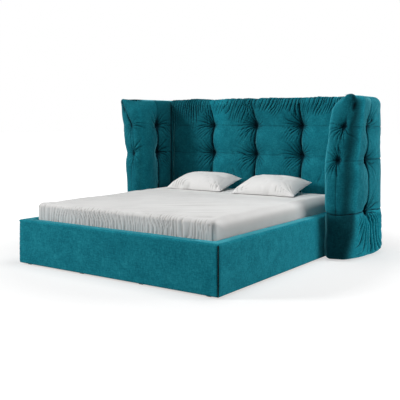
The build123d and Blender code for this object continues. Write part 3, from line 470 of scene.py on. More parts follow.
def headboardFolds(across, z, below, channel, seams):
    # folds, gathers and slack of the cover, out of its own surface
    s = headboardSet
    wobble = 0.004 * softNoise(across * 5, z * 0 + 3, 11)
    lift = np.zeros_like(z)
    for row in s["rows"]:
        lift += seamLine(z - row - wobble, s["lineWidth"], s["lineDepth"])
    tufts = [(seam, row) for row in s["rows"] for seam in seams]
    lift += puckers(across, z, tufts, s["foldReach"], s["foldDepth"], s["foldCount"], 21,
                    towards=math.radians(200))
    for seam, row in tufts:
        # drag lines that run down and away from each tuft, over the next channel's edge
        da, db = seam - across, z - row
        down, off = 0.60 * da - 0.80 * db, 0.80 * da + 0.60 * db
        reach = near(down, 0.13, 0.07) * near(off, 0.03, 0.075) * (da > 0)
        ridge = roundFold(off / s["dragSpacing"] + 0.8 * softNoise(across * 7, z * 7, 71), 0.6)
        lift += s["dragDepth"] * reach * (ridge - 0.68)
    ends = [(side * s["halfWidth"], row) for row in s["rows"] for side in (-1, 1)]
    lift += puckers(across, z, ends, s["endFoldReach"], s["endFoldDepth"], 19, 61)
    hang = np.broadcast_to(np.maximum(below - 0.165, 0), z.shape)
    # the first channel's gathers are finer and longer
    first = easeIn(-channel + 0.02 - across, 0.0, 0.04)
    reach, depth = s["gatherReach"], s["gatherDepth"]
    lift += (1 - first) * gathers(across, hang, s["gatherSpacing"], reach, depth, 31)
    finer = gathers(across, hang, s["firstSpacing"], 1.6 * reach, 1.1 * depth, 33, lean=0.10, stray=0.7)
    lift += first * finer
    low = easeIn(0.80 - z, 0.0, 0.15)                # a few long slack folds under the lower row
    ridge = roundFold((across + 0.35 * z) / s["slackSpacing"] + softNoise(across * 4, z * 4, 35))
    lift += s["slackDepth"] * low * (ridge - 0.6) * np.clip(softNoise(across * 5, z * 3, 36) + 0.1, 0, 1)
    return lift + 0.0035 * softNoise(across * 7, z * 7, 5) + 0.0012 * softNoise(across * 26, z * 22, 6)


def headboardCap(points):
    # the cover turns over the top of the board and down to its back panel
    s = headboardSet
    drop = s["overLow"] - s["top"]
    over = []
    for y, z, hold in ((1.122, 0.0, 0.9), (1.137, -0.001, 0.8), (1.150, -0.006, 0.5), (1.157, -0.016, 0.2),
                       (1.159, drop, 0.0), (s["back"] + 0.001, drop, 0.0)):
        row = points[-1].copy()
        row[:, 1], row[:, 2] = y, s["top"] + z + hold * (points[-1, :, 2] - s["top"])
        over.append(row)
    return np.array(over)


def headboardPiece():
    s = headboardSet
    section, along = headboardSection()
    x = resample([(-s["halfWidth"], 0), (s["halfWidth"], 0)], s["step"])[0][None, :, 0]
    y0, z0 = section[:, None, 0], section[:, None, 1]
    below = (along[-1] - along)[:, None]            # way down from the sewn edge at the back of the top
    channel = 2 * s["halfWidth"] / s["channels"]
    seams = [-channel, 0.0, channel]
    # 0 along a channel's middle, 1 at its seams
    share = np.abs(2 * (((x + s["halfWidth"]) / channel) % 1.0) - 1)
    share[:, [0, -1]] = 1
    depth = headboardHollow(x, z0, below, share, seams)
    slope = np.gradient(section, axis=0)
    slope /= np.linalg.norm(slope, axis=1, keepdims=True)
    inY, inZ = slope[:, None, 1], -slope[:, None, 0]
    points = np.stack(np.broadcast_arrays(x, y0 + inY * depth, z0 + inZ * depth), -1)
    outward = np.stack(np.broadcast_arrays(0 * x, -inY, -inZ), -1)
    normals = -gridNormals(points, False)
    normals *= np.sign(np.sum(normals * outward, -1, keepdims=True))
    across, z = points[..., 0], points[..., 2]
    lift = headboardFolds(across, z, below, channel, seams)
    atBoard = 1 - 0.7 * easeIn(along, along[-1] - 0.03, along[-1])
    fade = np.minimum(easeIn(along, 0.02, 0.07), atBoard)[:, None]
    edge = easeIn(s["halfWidth"] - np.abs(across), 0.0, 0.012)
    # painted light and shade: the first channel darker as the left wing's shadow, the top of the second
    # channel paler as lit, channel middles paler and the seams darker
    paintedLightShade = np.interp(across, *zip(*s["lightShadeAcross"])) + 0.60 * near(across, -0.44, 0.13) * easeIn(z, 1.10, 1.22)
    paintedLightShade = paintedLightShade + 0.12 * (1 - share ** 2) - 0.10 * easeIn(share, 0.7, 1.0)
    points = points + normals * (lift * fade * (0.15 + 0.85 * edge))[..., None]
    points[..., 0] = np.clip(points[..., 0], -s["halfWidth"], s["halfWidth"])
    points[..., 1] = np.clip(points[..., 1], s["front"] - s["frontRoom"], s["back"])
    paintedShade = hollows(points, normals, False, s["hollowSpans"])
    # painted shade in the crevices at both ends of the board
    paintedShade = np.clip(paintedShade + near(s["halfWidth"] - np.abs(across), 0, 0.007), 0, 1)
    cap = headboardCap(points)
    points = np.concatenate([points, cap], 0)
    paintedShade = np.pad(paintedShade, ((0, len(cap)), (0, 0)))
    paintedLightShade = np.pad(paintedLightShade, ((0, len(cap)), (0, 0)), mode="edge")
    rows, cols = points.shape[:2]
    last = (rows - 1) * cols
    faces = gridFaces(rows, cols)
    faces += [[c, c + 1, last + c + 1, last + c] for c in range(cols - 1)]
    faces += [[r * cols for r in range(rows)], [r * cols + cols - 1 for r in range(rows)]]
    piece = makePiece("headboardTufted", points, faces, finishes["velvet"], "base",
                      paintedShade=paintedShade, paintedLightShade=paintedLightShade)
    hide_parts("headboard_cushion")


headboardPiece()


# wings: thick pads from the floor to the top, tufted down the front and down both faces
wingSet = {
    "bottom": 0.0125, "top": 1.418, "step": 0.006, "front": 0.4365, "back": 1.1635,
    "rows": (1.146, 0.856, 0.404), "rowReach": 0.08, "lowRoll": 0.026, "highRoll": 0.16, "earRise": 0.014,
    "innerWidths": ((0, 1.006), (0.78, 1.004), (0.90, 1.012), (1.065, 1.032), (1.23, 1.052), (1.42, 1.090)),
    "outerWidths": ((0, 1.190), (0.10, 1.225), (0.25, 1.262), (0.50, 1.270), (0.85, 1.294), (1.12, 1.326),
                    (1.30, 1.348), (1.42, 1.345)),
    "root": 1.0385, "rootFront": 0.985, "column": 0.785, "innerMost": 1.108, "outerColumn": 1.290,
    "rearColumn": 1.293, "rearRound": 0.075, "spine": 1.175,
    "coreFace": 1.1265, "coreFront": 0.54, "coreTop": 1.31,     # just outside the timber panel
    "railSide": 1.0036, "railTop": 0.375,
    "pitDepth": 0.025, "pitReach": 0.034, "funnelDepth": 0.012, "funnelReach": 0.09, "smallTuft": 0.4,
    "foldDepth": 0.036, "foldReach": 0.120, "innerFolds": 14, "outerFolds": 17, "dragDepth": 0.010,
    "slackDepth": 0.040, "recessDepth": 0.034, "creaseDepth": 0.012, "gatherDepth": 0.006,
    "gatherReach": 0.11, "innerLines": 0.006, "outerLines": (0.0040, 0.0075, 0.0075),
    "frontLines": (0.0015, 0.0025, 0.007),
    "hollowSpans": ((1.6, 0.0045), (6.0, 0.012)),
}


def bulge(a, b, middle, count, power):
    # from a to b through a full bulge; every point is a column of values, one for each level
    t = np.linspace(0, 1, count, endpoint=False)[None, :, None]
    a, b, middle = (np.stack(p, -1)[:, None, :] for p in (a, b, middle))
    return (1 - t) * a + t * b + (middle - (a + b) / 2) * (4 * t * (1 - t)) ** power


def roundAlong(points, spread, reach=3):
    # smooths a closed outline along its columns
    total, weight = np.zeros_like(points), 0
    for k in range(-int(reach * spread), int(reach * spread) + 1):
        w = math.exp(-0.5 * (k / spread) ** 2)
        total, weight = total + w * np.roll(points, k, 1), weight + w
    return total / weight


def curveThrough(level, table):
    # a smooth run of widths through (height, width) pairs
    heights, widths = zip(*table)
    fine = np.linspace(-0.2, 1.62, 365)
    values = np.interp(fine, heights, widths)
    kernel = np.exp(-0.5 * (np.arange(-24, 25) / 8.0) ** 2)
    padded = np.pad(values, 24, mode="edge")
    return np.interp(level, fine, np.convolve(padded, kernel / kernel.sum(), mode="valid"))


def wingLevels():
    # heights of the pad's rings, closer together where it rolls in at the floor and over at the top
    s = wingSet
    low, high = s["lowRoll"], s["highRoll"]
    return np.concatenate([
        s["bottom"] + low * (1 - np.cos(np.linspace(0, math.pi / 2, 8)[:-1])),
        np.arange(s["bottom"] + low, s["top"] - high, s["step"]),
        s["top"] - high + high * np.sin(np.linspace(0, math.pi / 2, 34)),
    ])


def wingPlan(side, z):
    # the pad's outline at each height (root, inner face, front, outer face, back)
    # and the column where each stretch of it starts
    s = wingSet
    one = np.ones_like(z)
    level = np.clip(z, 0.0, 1.42)
    pinch = np.max([near(level, row, s["rowReach"]) for row in s["rows"]], axis=0)
    narrow = np.max([near(level, row, 0.055) for row in s["rows"][:2]], axis=0)
    full = near(level, 0.63, 0.13)                  # the cushion between the two lower rows stands out most
    innerX, outerX = curveThrough(level, s["innerWidths"]), curveThrough(level, s["outerWidths"])
    root, front, column = s["root"] * one, s["front"] * one, s["column"] * one
    if side > 0:
        seamShift = 0.072 * easeIn(level, 0.95, 1.42)
    else:
        seamShift = 0.096 * easeIn(level, 1.16, 1.42) - 0.034 * easeIn(level, 0.6, 0.9)
    innerTuft = np.maximum(innerX, root) + 0.028 + 0.016 * pinch - 0.020 * easeIn(level, 1.18, 1.36)
    a = (root, s["rootFront"] * one)
    b = (np.minimum(innerTuft, s["innerMost"]), column)
    c = (innerX + 0.014, front + 0.062)
    d = ((innerX + outerX) / 2 + seamShift, front + (0.004 + 0.014 * pinch) * easeIn(level, 0.36, 0.46))
    e = (outerX - 0.006 - 0.018 * narrow, front + 0.022 + 0.062 * easeIn(level, 0.0, 0.50))
    f = (s["outerColumn"] - 0.022 * pinch + 0.026 * easeIn(level, 1.18, 1.36), column)
    g = (s["rearColumn"] * one, (s["back"] - s["rearRound"]) * one)
    h = ((s["rearColumn"] - s["rearRound"]) * one, s["back"] * one)
    i = (root, s["back"] * one)
    middle = (s["front"] + s["column"]) / 2 * one
    outerFull = np.maximum((e[0] + f[0]) / 2 + 0.026, outerX + 0.004 + 0.014 * full)
    rearCut = 0.29 * s["rearRound"]
    parts = [
        bulge(a, b, ((a[0] + b[0]) / 2 - 0.022, (a[1] + b[1]) / 2), 34, 0.8),
        bulge(b, c, (innerX, middle), 58, 0.6),
        bulge(c, d, (0.55 * c[0] + 0.45 * d[0], front), 24, 0.75),
        bulge(d, e, (0.45 * d[0] + 0.55 * e[0], front + 0.016), 24, 0.8),
        bulge(e, f, (outerFull, middle), 60, 0.6),
        bulge(f, g, (1.314 * one, (f[1] + g[1]) / 2), 50, 0.7),
        bulge(g, h, (s["rearColumn"] - rearCut * one, s["back"] - rearCut * one), 20, 1.0),
        bulge(h, i, ((h[0] + i[0]) / 2, h[1]), 26, 1.0),
        bulge(i, a, (i[0], (i[1] + a[1]) / 2), 28, 1.0),
    ]
    starts = np.cumsum([0] + [p.shape[1] for p in parts])
    ring = np.concatenate(parts, 1)
    cols = ring.shape[1]
    keep = np.zeros(cols)                           # corners that stay sharp while the rest is smoothed
    for part, amount in ((1, 0.8), (3, 0.35), (5, 0.8), (8, 1), (0, 0.9)):
        away = np.abs(np.arange(cols) - starts[part])
        keep = np.maximum(keep, amount * near(np.minimum(away, cols - away), 0, 2.4))
    keep = keep[None, :, None]
    return ring * keep + roundAlong(ring, 4.5) * (1 - keep), starts


def wingRoll(ring, z, across, at):
    # the top rolls over: wide at the inner front corner, tight at the seam, where a small ear stands up
    s = wingSet
    roll = 0.052 + 0.100 * near(across, at["cornerIn"] - 0.02, 0.11)
    roll = roll - 0.120 * near(across, at["seam"] + 0.012, 0.050)
    roll = np.clip(roll + 0.030 * near(across, at["rear"] + 0.06, 0.09), 0.014, 0.155)[None, :]
    over = np.clip(z[:, None] - (s["top"] - roll), 0, roll)
    inset = roll - np.sqrt(np.maximum(roll ** 2 - over ** 2, 0))
    low = s["lowRoll"] + 0.050 * near(across, at["rear"] + 0.04, 0.13)[None, :]
    under = np.clip(s["bottom"] + low - z[:, None], 0, low)
    inset = inset + low - np.sqrt(np.maximum(low ** 2 - under ** 2, 0))
    tangent = np.roll(ring, -1, 1) - np.roll(ring, 1, 1)
    tangent /= np.linalg.norm(tangent, axis=-1, keepdims=True)
    outward = np.stack([tangent[..., 1], -tangent[..., 0]], -1)
    ring = ring - outward * inset[..., None]
    nearTop = easeIn(z, 1.30, 1.418)[:, None]
    ear = near(across, at["seam"], 0.055, 1.3)[None, :]
    heights = z[:, None] + s["earRise"] * nearTop * ear - 0.006 * nearTop
    return np.concatenate([ring, heights[..., None]], -1)


def wingFaces(u, at):
    # shares of the inner face, the front inside and outside its seam, and the outer face
    faceIn = easeOut(u, at["inner"] - 0.01, at["inner"] + 0.02)
    faceOut = easeIn(u, at["outer"] - 0.02, at["outer"] + 0.01)
    faceOut = faceOut * easeOut(u, at["rearEnd"], at["rearEnd"] + 0.05)
    frontOut = easeIn(u, at["seam"], at["seam"] + 0.02) * (1 - faceOut)
    return faceIn, 1 - faceIn - frontOut - faceOut, frontOut, faceOut


def wingTufts(u, v, at, side, seed):
    # pits at the tufts, the folds that run out of them and drag lines on the inner face
    s = wingSet
    rows, depth, reach = s["rows"], s["foldDepth"], s["foldReach"]
    columns = [[(at["inner"], row) for row in rows], [(at["seam"], row) for row in rows[:2]],
               [(at["outer"], row) for row in rows]]
    lift = np.zeros_like(v)
    for k, column in enumerate(columns):
        size = s["smallTuft"] if k == 1 and side < 0 else 1.0
        for place, row in column:
            r = np.hypot(u - place, 1.1 * (v - row))
            pit = s["pitDepth"] * near(r, 0, s["pitReach"], 1.3)
            pit = pit + s["funnelDepth"] * near(r, 0, s["funnelReach"])
            lift -= size * pit
    lift += puckers(u, v, columns[0], reach, depth, s["innerFolds"], seed)
    lift += puckers(u, v, columns[1], reach, 1.15 * depth, s["outerFolds"], seed + 3, towards=math.pi)
    lift += puckers(u, v, columns[2], reach, 1.15 * depth, s["outerFolds"], seed + 5, towards=0.0)
    for row in rows[:2]:
        off = 0.55 * (at["inner"] - u) + 0.83 * (v - row)
        ridge = roundFold(off / 0.034 + 0.9 * softNoise(u * 8, v * 8, seed + 12), 0.6) - 0.68
        lift += s["dragDepth"] * near(u, at["inner"] - 0.12, 0.07) * near(v, row - 0.07, 0.10) * ridge
    return lift


def wingSeams(u, v, at, seed):
    # sewn lines down the tuft columns and along the rows
    s = wingSet
    faceIn, frontIn, frontOut, faceOut = wingFaces(u, at)
    frontIn = np.clip(frontIn, 0, 1)
    between = easeOut(v, 1.36, 1.40) * easeIn(v, 0.05, 0.20) * easeOut(v, 1.15, 1.27)
    lift = between * (seamLine(u - at["inner"], 0.010, 0.006) + seamLine(u - at["outer"], 0.010, 0.011))
    front = easeIn(v, 0.44, 0.60) * (1 - 0.7 * easeIn(v, 1.16, 1.24))
    lift += front * seamLine(u - at["seam"], 0.006, 0.0024)
    wobble = 0.004 * softNoise(u * 6, v * 0 + 2, seed + 3)
    lowest = s["rows"][2]
    for k, row in enumerate(s["rows"]):
        strength = s["innerLines"] * faceIn + s["outerLines"][k] * faceOut + s["frontLines"][k] * frontOut
        dip = 0
        if row == lowest:                           # the lowest line sags a little across the front
            strength = strength + 0.008 * frontIn
            share = np.clip((u - at["cornerIn"]) / (at["cornerOut"] - at["cornerIn"]), 0, 1)
            dip = 0.010 * np.sin(share * math.pi)
        lift -= strength * near(v - row - wobble + dip, 0, 0.0055)
    return lift - 0.006 * near(v, lowest, 0.035) * (frontOut + frontIn)


def wingSlack(u, v, at, seed):
    # long slack folds from the lowest row to the floor
    s = wingSet
    slack = easeIn(0.395 - v, 0.0, 0.07) * easeIn(v, 0.005, 0.04)
    area = easeIn(u, at["cornerOut"] + 0.04, at["cornerOut"] + 0.13)
    area = area * easeOut(u, at["rearEnd"] - 0.03, at["rearEnd"] + 0.05)
    fan = 0.022 + 0.160 * np.clip(s["rows"][2] - v, 0, 1)
    phase = (u - at["outer"]) / fan + 0.9 * softNoise(u * 6, v * 5, seed + 4) + 0.35 * np.sin(17 * v + 9 * u)
    strength = 0.75 + 0.6 * softNoise(u * 8, v * 3, seed + 5)
    lift = s["slackDepth"] * slack * area * (roundFold(phase, 0.75) - 0.64) * strength
    return lift + 0.003 * slack * (1 - area) * softNoise(u * 22, v * 5, seed + 6)


def wingTop(u, v, at, side, seed):
    # gathers along the top of the faces, and the hollow beside the ear
    s = wingSet
    faceIn, _, _, faceOut = wingFaces(u, at)
    sides = np.clip(faceIn + faceOut, 0, 1)
    lift = sides * gathers(u, s["top"] - v, 0.034, s["gatherReach"], s["gatherDepth"], seed + 8)
    if side < 0:
        crease = easeIn(v, 1.15, 1.20) * easeOut(v, 1.37, 1.40)
        lift += crease * seamLine(u - at["seam"] - 0.012, 0.014, s["creaseDepth"])
    recess = near(u, at["seam"] + 0.058, 0.050) * near(v, 1.320, 0.060) * easeOut(v, 1.345, 1.395)
    return lift - s["recessDepth"] * recess


def keepWingClear(points, u, at):
    # the pad stays off the timber inside it, the rail, the headboard and the wall
    s = wingSet
    x, y, z = points[..., 0], points[..., 1], points[..., 2]
    overCore = (u < at["cornerIn"]) & (y > s["coreFront"]) & (z < s["coreTop"])
    x = np.where(overCore, np.minimum(x, s["coreFace"]), x)
    x = np.where(z < s["railTop"], np.maximum(x, s["railSide"]), x)
    x = np.where(y > s["rootFront"] - 0.02, np.maximum(x, s["root"]), x)
    return np.stack([x, np.minimum(y, s["back"]), z], -1)


def wingLightShade(u, v, at, side):
    # painted light and shade: a paler ridge at the outer front corner with a darker band beside it on the
    # front, a paler inner front corner and outer face, and below the lowest row a paler outer face and a
    # darker front; the left pad keeps a weaker share of the paler marks and its inner face is painted darker
    faceIn, _, _, faceOut = wingFaces(u, at)
    cornerIn, cornerOut, rearEnd = at["cornerIn"], at["cornerOut"], at["rearEnd"]
    valley = at["seam"] + (0.60 - 0.50 * easeIn(v, 1.34, 1.42)) * (cornerOut - at["seam"])
    high = easeIn(v, 0.38, 0.46)
    frontLow = easeIn(u, cornerIn + 0.01, cornerIn + 0.05) * easeOut(u, cornerOut, cornerOut + 0.05)
    sideLow = easeIn(u, cornerOut + 0.02, cornerOut + 0.08) * easeOut(u, rearEnd, rearEnd + 0.05)
    paintedLightShade = 0.95 * high * near(u, cornerOut + 0.020, 0.026) - 0.72 * high * near(u, valley, 0.036)
    paintedLightShade = paintedLightShade + 0.70 * near(u, cornerIn - 0.004, 0.024) + 0.18 * faceOut
    paintedLightShade = paintedLightShade + (1 - high) * (1.25 * sideLow - 0.85 * frontLow)
    return paintedLightShade if side > 0 else 0.4 * np.maximum(paintedLightShade, 0) - 0.42 * faceIn


def wingCreases(points, normals, u, v, at, side):
    # painted shade: how deep each point lies in a crease, with shade also painted along the headboard's edge
    # and beside the ear, less of it at the top of the seam and of the inner tuft column, and a line of it
    # down the left pad's seam
    s = wingSet
    seam, inner = at["seam"], at["inner"]
    paintedShade = hollows(points, normals, True, s["hollowSpans"])
    toRoot = np.minimum(u, u[0, -1] + s["step"] - u)
    paintedShade = paintedShade + near(toRoot, 0, 0.014) * (points[..., 1] < 1.1)
    paintedShade = paintedShade * (1 - 0.75 * easeIn(v, 1.34, 1.38) * near(u, seam, 0.05) * (side > 0))
    paintedShade = paintedShade + 0.45 * near(u, seam + 0.040, 0.034) * near(v, 1.385, 0.030)
    if side < 0:
        paintedShade = paintedShade + 0.5 * near(u, seam + 0.012, 0.013) * easeIn(v, 1.15, 1.20)
    return np.clip(paintedShade * (1 - 0.65 * near(u, inner, 0.05) * easeIn(v, 1.17, 1.27)), 0, 1)


def wingClosing(edge, rise):
    # rings that close the pad's end, towards a line along its middle
    spine = np.stack([np.full(len(edge), wingSet["spine"]), np.clip(edge[:, 1], 0.53, 1.08),
                      np.full(len(edge), edge[:, 2].mean())], -1)
    rings = []
    for k in np.linspace(0, 1, 9)[1:]:
        place = edge * (1 - k) + spine * k
        height = (edge[:, 2] - spine[:, 2]) * (1 - k) ** 4
        place[:, 2] = spine[:, 2] + height + rise * math.sin(k * math.pi / 2)
        rings.append(place)
    return np.array(rings)


def wingPiece(side, seed):
    s = wingSet
    z = wingLevels()
    ring, starts = wingPlan(side, z)
    cols = ring.shape[1]
    middle = ring[len(z) // 2]
    steps = np.linalg.norm(np.roll(middle, -1, 0) - middle, axis=1)
    across = np.concatenate([[0], np.cumsum(steps)[:-1]])
    marks = ("inner", "cornerIn", "seam", "cornerOut", "outer", "rear", "rearEnd")
    at = {mark: across[start] for mark, start in zip(marks, starts[1:])}
    points = wingRoll(ring, z, across, at)
    normals = gridNormals(points, True)
    u, v = np.broadcast_arrays(across[None, :], points[..., 2].copy())

    lift = wingTufts(u, v, at, side, seed) + wingSeams(u, v, at, seed) + wingSlack(u, v, at, seed)
    lift += wingTop(u, v, at, side, seed)
    body = easeIn(v, 0.02, 0.10) * easeOut(v, 1.36, 1.415)
    lumps = 0.0042 * softNoise(u * 8, v * 7, seed + 9) + 0.0013 * softNoise(u * 28, v * 24, seed + 10)
    lift += body * lumps
    flat = easeOut(u, at["rearEnd"] + 0.02, at["rearEnd"] + 0.06)     # the back lies flat
    points = points + normals * (lift * flat * easeIn(v, 0.012, 0.05))[..., None]
    byEar = (near(u, at["seam"] + 0.050, 0.040) * easeIn(v, 1.26, 1.32))[..., None]
    points = points * (1 - byEar) + blurred(points, 3.0, True) * byEar      # no pinch beside the ear
    points[..., 2] = np.clip(points[..., 2], s["bottom"], s["top"] + 0.018)
    points = keepWingClear(points, u, at)

    lowEnd, topEnd = wingClosing(points[0], 0.0)[::-1], wingClosing(points[-1], 0.008)
    ends = ((len(lowEnd), len(topEnd)), (0, 0))
    paintedShade = np.pad(wingCreases(points, normals, u, v, at, side), ends)
    paintedLightShade = np.pad(wingLightShade(u, v, at, side), ends, mode="edge")
    whole = np.concatenate([lowEnd, points, topEnd], 0) * np.array([side, 1, 1])
    name = "wingPadRight" if side > 0 else "wingPadLeft"
    faces = gridFaces(whole.shape[0], cols, wrapCols=True)
    piece = makePiece(name, whole, faces, finishes["velvet"], "base", creaseAngle=80,
                      paintedShade=paintedShade, paintedLightShade=paintedLightShade)
    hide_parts("wing_cushion_right" if side > 0 else "wing_cushion_left")


wingPiece(1, 100)
wingPiece(-1, 200)


# rails: padded covers with soft edges, mitred at the foot, where a narrow groove marks the corner
railSet = {
    "outer": 1.003, "foot": -1.165, "head": 1.109, "thick": 0.0998, "bottom": 0.0125, "top": 0.371,
    "topRound": 0.017, "footRound": 0.010, "crown": 0.0022, "slot": 0.0105, "slotDrop": 0.012, "step": 0.0055,
    "endStretch": 0.03, "columns": 260, "groove": 0.0045, "grooveWidth": 0.004, "lump": 0.0010,
    "pull": 0.0009, "slotShadowInset": 0.0070,
}


def railProfile():
    # distance in from the outer face, and height
    s = railSet
    low, high, r, f = s["bottom"], s["top"], s["topRound"], s["footRound"]
    line = [(0.03, low)] + cornerArc((f, low + f), (f, f), 270, 180)
    line += cornerArc((r, high - r), (r, r), 180, 90) + cornerArc((s["thick"] - r, high - r), (r, r), 90, 0)
    line += cornerArc((s["thick"] - f, low + f), (f, f), 360, 270) + [(0.03, low)]
    return resample(line, s["step"])[0][:-1]


def railPiece(name, node, corners, seed):
    s = railSet
    section = railProfile()
    inward, height = section[None, :, 0], section[None, :, 1]
    long = 2 * s["outer"] if corners == 2 else s["head"] - s["foot"]
    end = s["endStretch"]                            # columns stand closer together near the ends
    spread = end * (0.5 - 0.5 * np.cos(np.linspace(0, math.pi, 9)))
    inside = np.linspace(end, long - end, s["columns"])[1:-1]
    along = np.concatenate([spread, inside, long - end + spread])[:, None]
    opening = s["slot"] * near(inward, 0, 0.020, 4)
    opening = opening * easeOut(height, s["top"] - s["slotDrop"], s["top"] - 0.008)
    start = inward + opening
    stop = long - inward - opening if corners == 2 else long + 0 * inward
    place = start + (stop - start) * (along / long)
    fromStart, fromEnd = place - start, stop - place
    # cloth over padding: a slight crown, shallow lumps and small drag lines at the corner
    side = near(inward, 0, 0.012)
    share = np.clip((height - s["bottom"]) / (s["top"] - s["bottom"]), 0, 1)
    crown = s["crown"] * np.sin(math.pi * share) * side
    lump = s["lump"] * softNoise(place * 6, height * 9 + inward * 9, seed)
    lump = lump + 0.4 * s["lump"] * softNoise(place * 30, height * 30, seed + 1)
    ripple = np.sin(height * 150 + 3 * softNoise(place * 9, height * 5, seed + 2))
    pull = s["pull"] * np.exp(-fromStart / 0.10) * ripple
    push = (crown + lump + pull) * np.clip(side + 0.4, 0, 1)
    groove = s["groove"] * near(fromStart, 0, s["grooveWidth"])
    if corners == 2:
        groove = groove + s["groove"] * near(fromEnd, 0, s["grooveWidth"])
    groove = groove * side * easeOut(height, s["top"] - 0.020, s["top"] - 0.008)
    away = inward - push * (side > 0.02) + groove
    rise = np.sin(math.pi * np.clip(inward / s["thick"], 0, 1)) * (height > s["top"] - 0.004)
    wavy = 0.0008 * softNoise(place * 8, inward * 20, seed + 3) * easeIn(height, 0.30, 0.36)
    up = height + 0.0012 * rise + wavy
    place, away, up = np.broadcast_arrays(place, away, up)
    if corners == 2:
        points = np.stack([place - s["outer"], s["foot"] + away, up], -1)
    else:
        mirror = 1 if name == "sideRailPadRight" else -1
        points = np.stack([mirror * (s["outer"] - away), s["foot"] + place, up], -1)
    rows, cols = points.shape[:2]
    faces = gridFaces(rows, cols, wrapCols=True)
    faces += [list(range(cols)), [(rows - 1) * cols + c for c in range(cols)]]
    piece = makePiece(name, points, faces, paleLitVelvet, "base", creaseAngle=50)
    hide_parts(node)


def slotShadowPiece(name, side):
    # painted shadow: a strip of the same velvet painted near black, seen in the slot at a foot corner
    s = railSet
    outer = [(0.0, 0.0045), (0.0045, 0.0), (0.016, 0.002), (0.020, 0.020), (0.002, 0.016)]
    ring, _ = resample(outer + [outer[0]], 0.002)
    ring = ring[:-1] + s["slotShadowInset"]
    x, y = side * (s["outer"] - ring[:, 0]), s["foot"] + ring[:, 1]
    levels = np.linspace(s["bottom"] + 0.001, s["top"] - s["slotDrop"] + 0.006, 40)
    points = np.array([np.column_stack([x, y, np.full(len(ring), h)]) for h in levels])
    faces = gridFaces(len(levels), len(ring), wrapCols=True)
    faces += [list(range(len(ring))), [(len(levels) - 1) * len(ring) + c for c in range(len(ring))]]
    makePiece(name, points, faces, slotShadowVelvet, "base", creaseAngle=60)


# painted shadow: the velvet at 0.12 of its brightness, for the strips in the corner slots
slotShadowVelvet = velvetFinish("velvet painted as slot shadow", shade=0.12)
paleLitVelvet = velvetFinish("velvet painted paler as light", shade=1.50)   # painted light: a copy of the velvet 1.5 times paler, for all three rails
slotShadowPiece("cornerSlotShadowRight", 1)
slotShadowPiece("cornerSlotShadowLeft", -1)
railPiece("footRailPad", "foot_rail_cover", 2, 300)
railPiece("sideRailPadRight", "side_rail_cover_right", 1, 310)
railPiece("sideRailPadLeft", "side_rail_cover_left", 1, 320)


# bedding: mattress, a fitted sheet gathered at the foot and two pillows
bedSet = {
    "halfWidth": 0.8935, "foot": -1.0575, "head": 0.9295, "corner": 0.042, "bottom": 0.3005, "top": 0.5070,
    "edge": 0.036, "shoulder": 0.085, "sheetGap": 0.0018, "sheetLow": 0.334, "footStop": -1.0632,
    "sideStop": 0.9015, "gatherDepth": 0.0110, "gatherSpacing": 0.029, "gatherReach": 0.095,
    "topFolds": 0.0062, "sideShade": 0.62, "hollowSpans": ((1.5, 0.0024), (5.0, 0.012)),
}


def bedOutline(halfWidth, foot, head, corner, step):
    # rounded rectangle from the middle of the head end, counter-clockwise seen from above
    line = [(0, head)]
    for side, end, angle in ((-1, head, 90), (-1, foot, 180), (1, foot, 270), (1, head, 0)):
        inset = corner if end == foot else -corner
        centre = (side * (halfWidth - corner), end + inset)
        line += cornerArc(centre, (corner, corner), angle, angle + 90, 12)
    line += [(0, head)]
    return resample(line, step)[0][:-1]


def shoulder(outline, low, high):
    # radius of the top edge at each point: full along the sides, small enough for the corners elsewhere
    s = bedSet
    along = easeIn(outline[:, 1], s["foot"] + 0.01, s["foot"] + 0.16)
    along = along * easeOut(outline[:, 1], s["head"] - 0.18, s["head"] - 0.03)
    onSide = easeIn(np.abs(outline[:, 0]), s["halfWidth"] - 0.05, s["halfWidth"] - 0.01)
    return low + (high - low) * along * onSide


def blockRings(outline, edge, top, low, rings, bottomEdge=None):
    # rings from the lower edge up the side, over the soft edge and in towards a line along the middle
    tangent = np.roll(outline, -1, 0) - np.roll(outline, 1, 0)
    tangent /= np.linalg.norm(tangent, axis=1, keepdims=True)
    outward = np.stack([tangent[:, 1], -tangent[:, 0]], 1)
    levels = []
    if bottomEdge:
        levels += [(bottomEdge * (1 - math.sin(a)), low + bottomEdge * (1 - math.cos(a)))
                   for a in np.linspace(0, math.pi / 2, 6)]
        low = low + bottomEdge
    radius = shoulder(outline, edge, bedSet["shoulder"])
    body = [np.column_stack([outline - outward * inset, np.full(len(outline), h)]) for inset, h in levels]
    for k in np.linspace(0, 1, max(2, int((top - edge - low) / 0.007))):
        body.append(np.column_stack([outline, low + (top - radius - low) * k]))
    for a in np.linspace(0, math.pi / 2, 14)[1:]:
        body.append(np.column_stack([outline - outward * (radius * (1 - math.cos(a)))[:, None],
                                     top - radius + radius * math.sin(a)]))
    body = np.array(body)
    (lowX, lowY), (highX, highY) = outline.min(0), outline.max(0)
    middle, spineHalf = (highY + lowY) / 2, (highY - lowY) / 2 - (highX - lowX) / 2
    spineY = np.clip(outline[:, 1], middle - spineHalf, middle + spineHalf)
    spine = np.column_stack([0 * spineY, spineY])
    inner = []
    for k in np.linspace(0, 1, rings + 1)[1:]:
        flat = body[-1][:, :2] * (1 - k) + spine * k
        inner.append(np.column_stack([flat, np.full(len(outline), top)]))
    return body, np.array(inner), outward


def mattressPiece():
    s = bedSet
    outline = bedOutline(s["halfWidth"], s["foot"], s["head"], s["corner"], 0.02)
    body, inner, _ = blockRings(outline, s["edge"], s["top"], s["bottom"], 14, bottomEdge=0.02)
    under = inner[::-1].copy()
    under[..., 2] = s["bottom"]
    rings = np.concatenate([under, body, inner], 0)
    # a shallow quilted line round the border
    rings[..., :2] *= (1 - 0.0012 * near(rings[..., 2], 0.40, 0.004))[..., None]
    piece = makePiece("mattressBody", rings, gridFaces(len(rings), len(outline), wrapCols=True),
                      finishes["mattress_ticking"], "lift", creaseAngle=60)
    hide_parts("mattress")


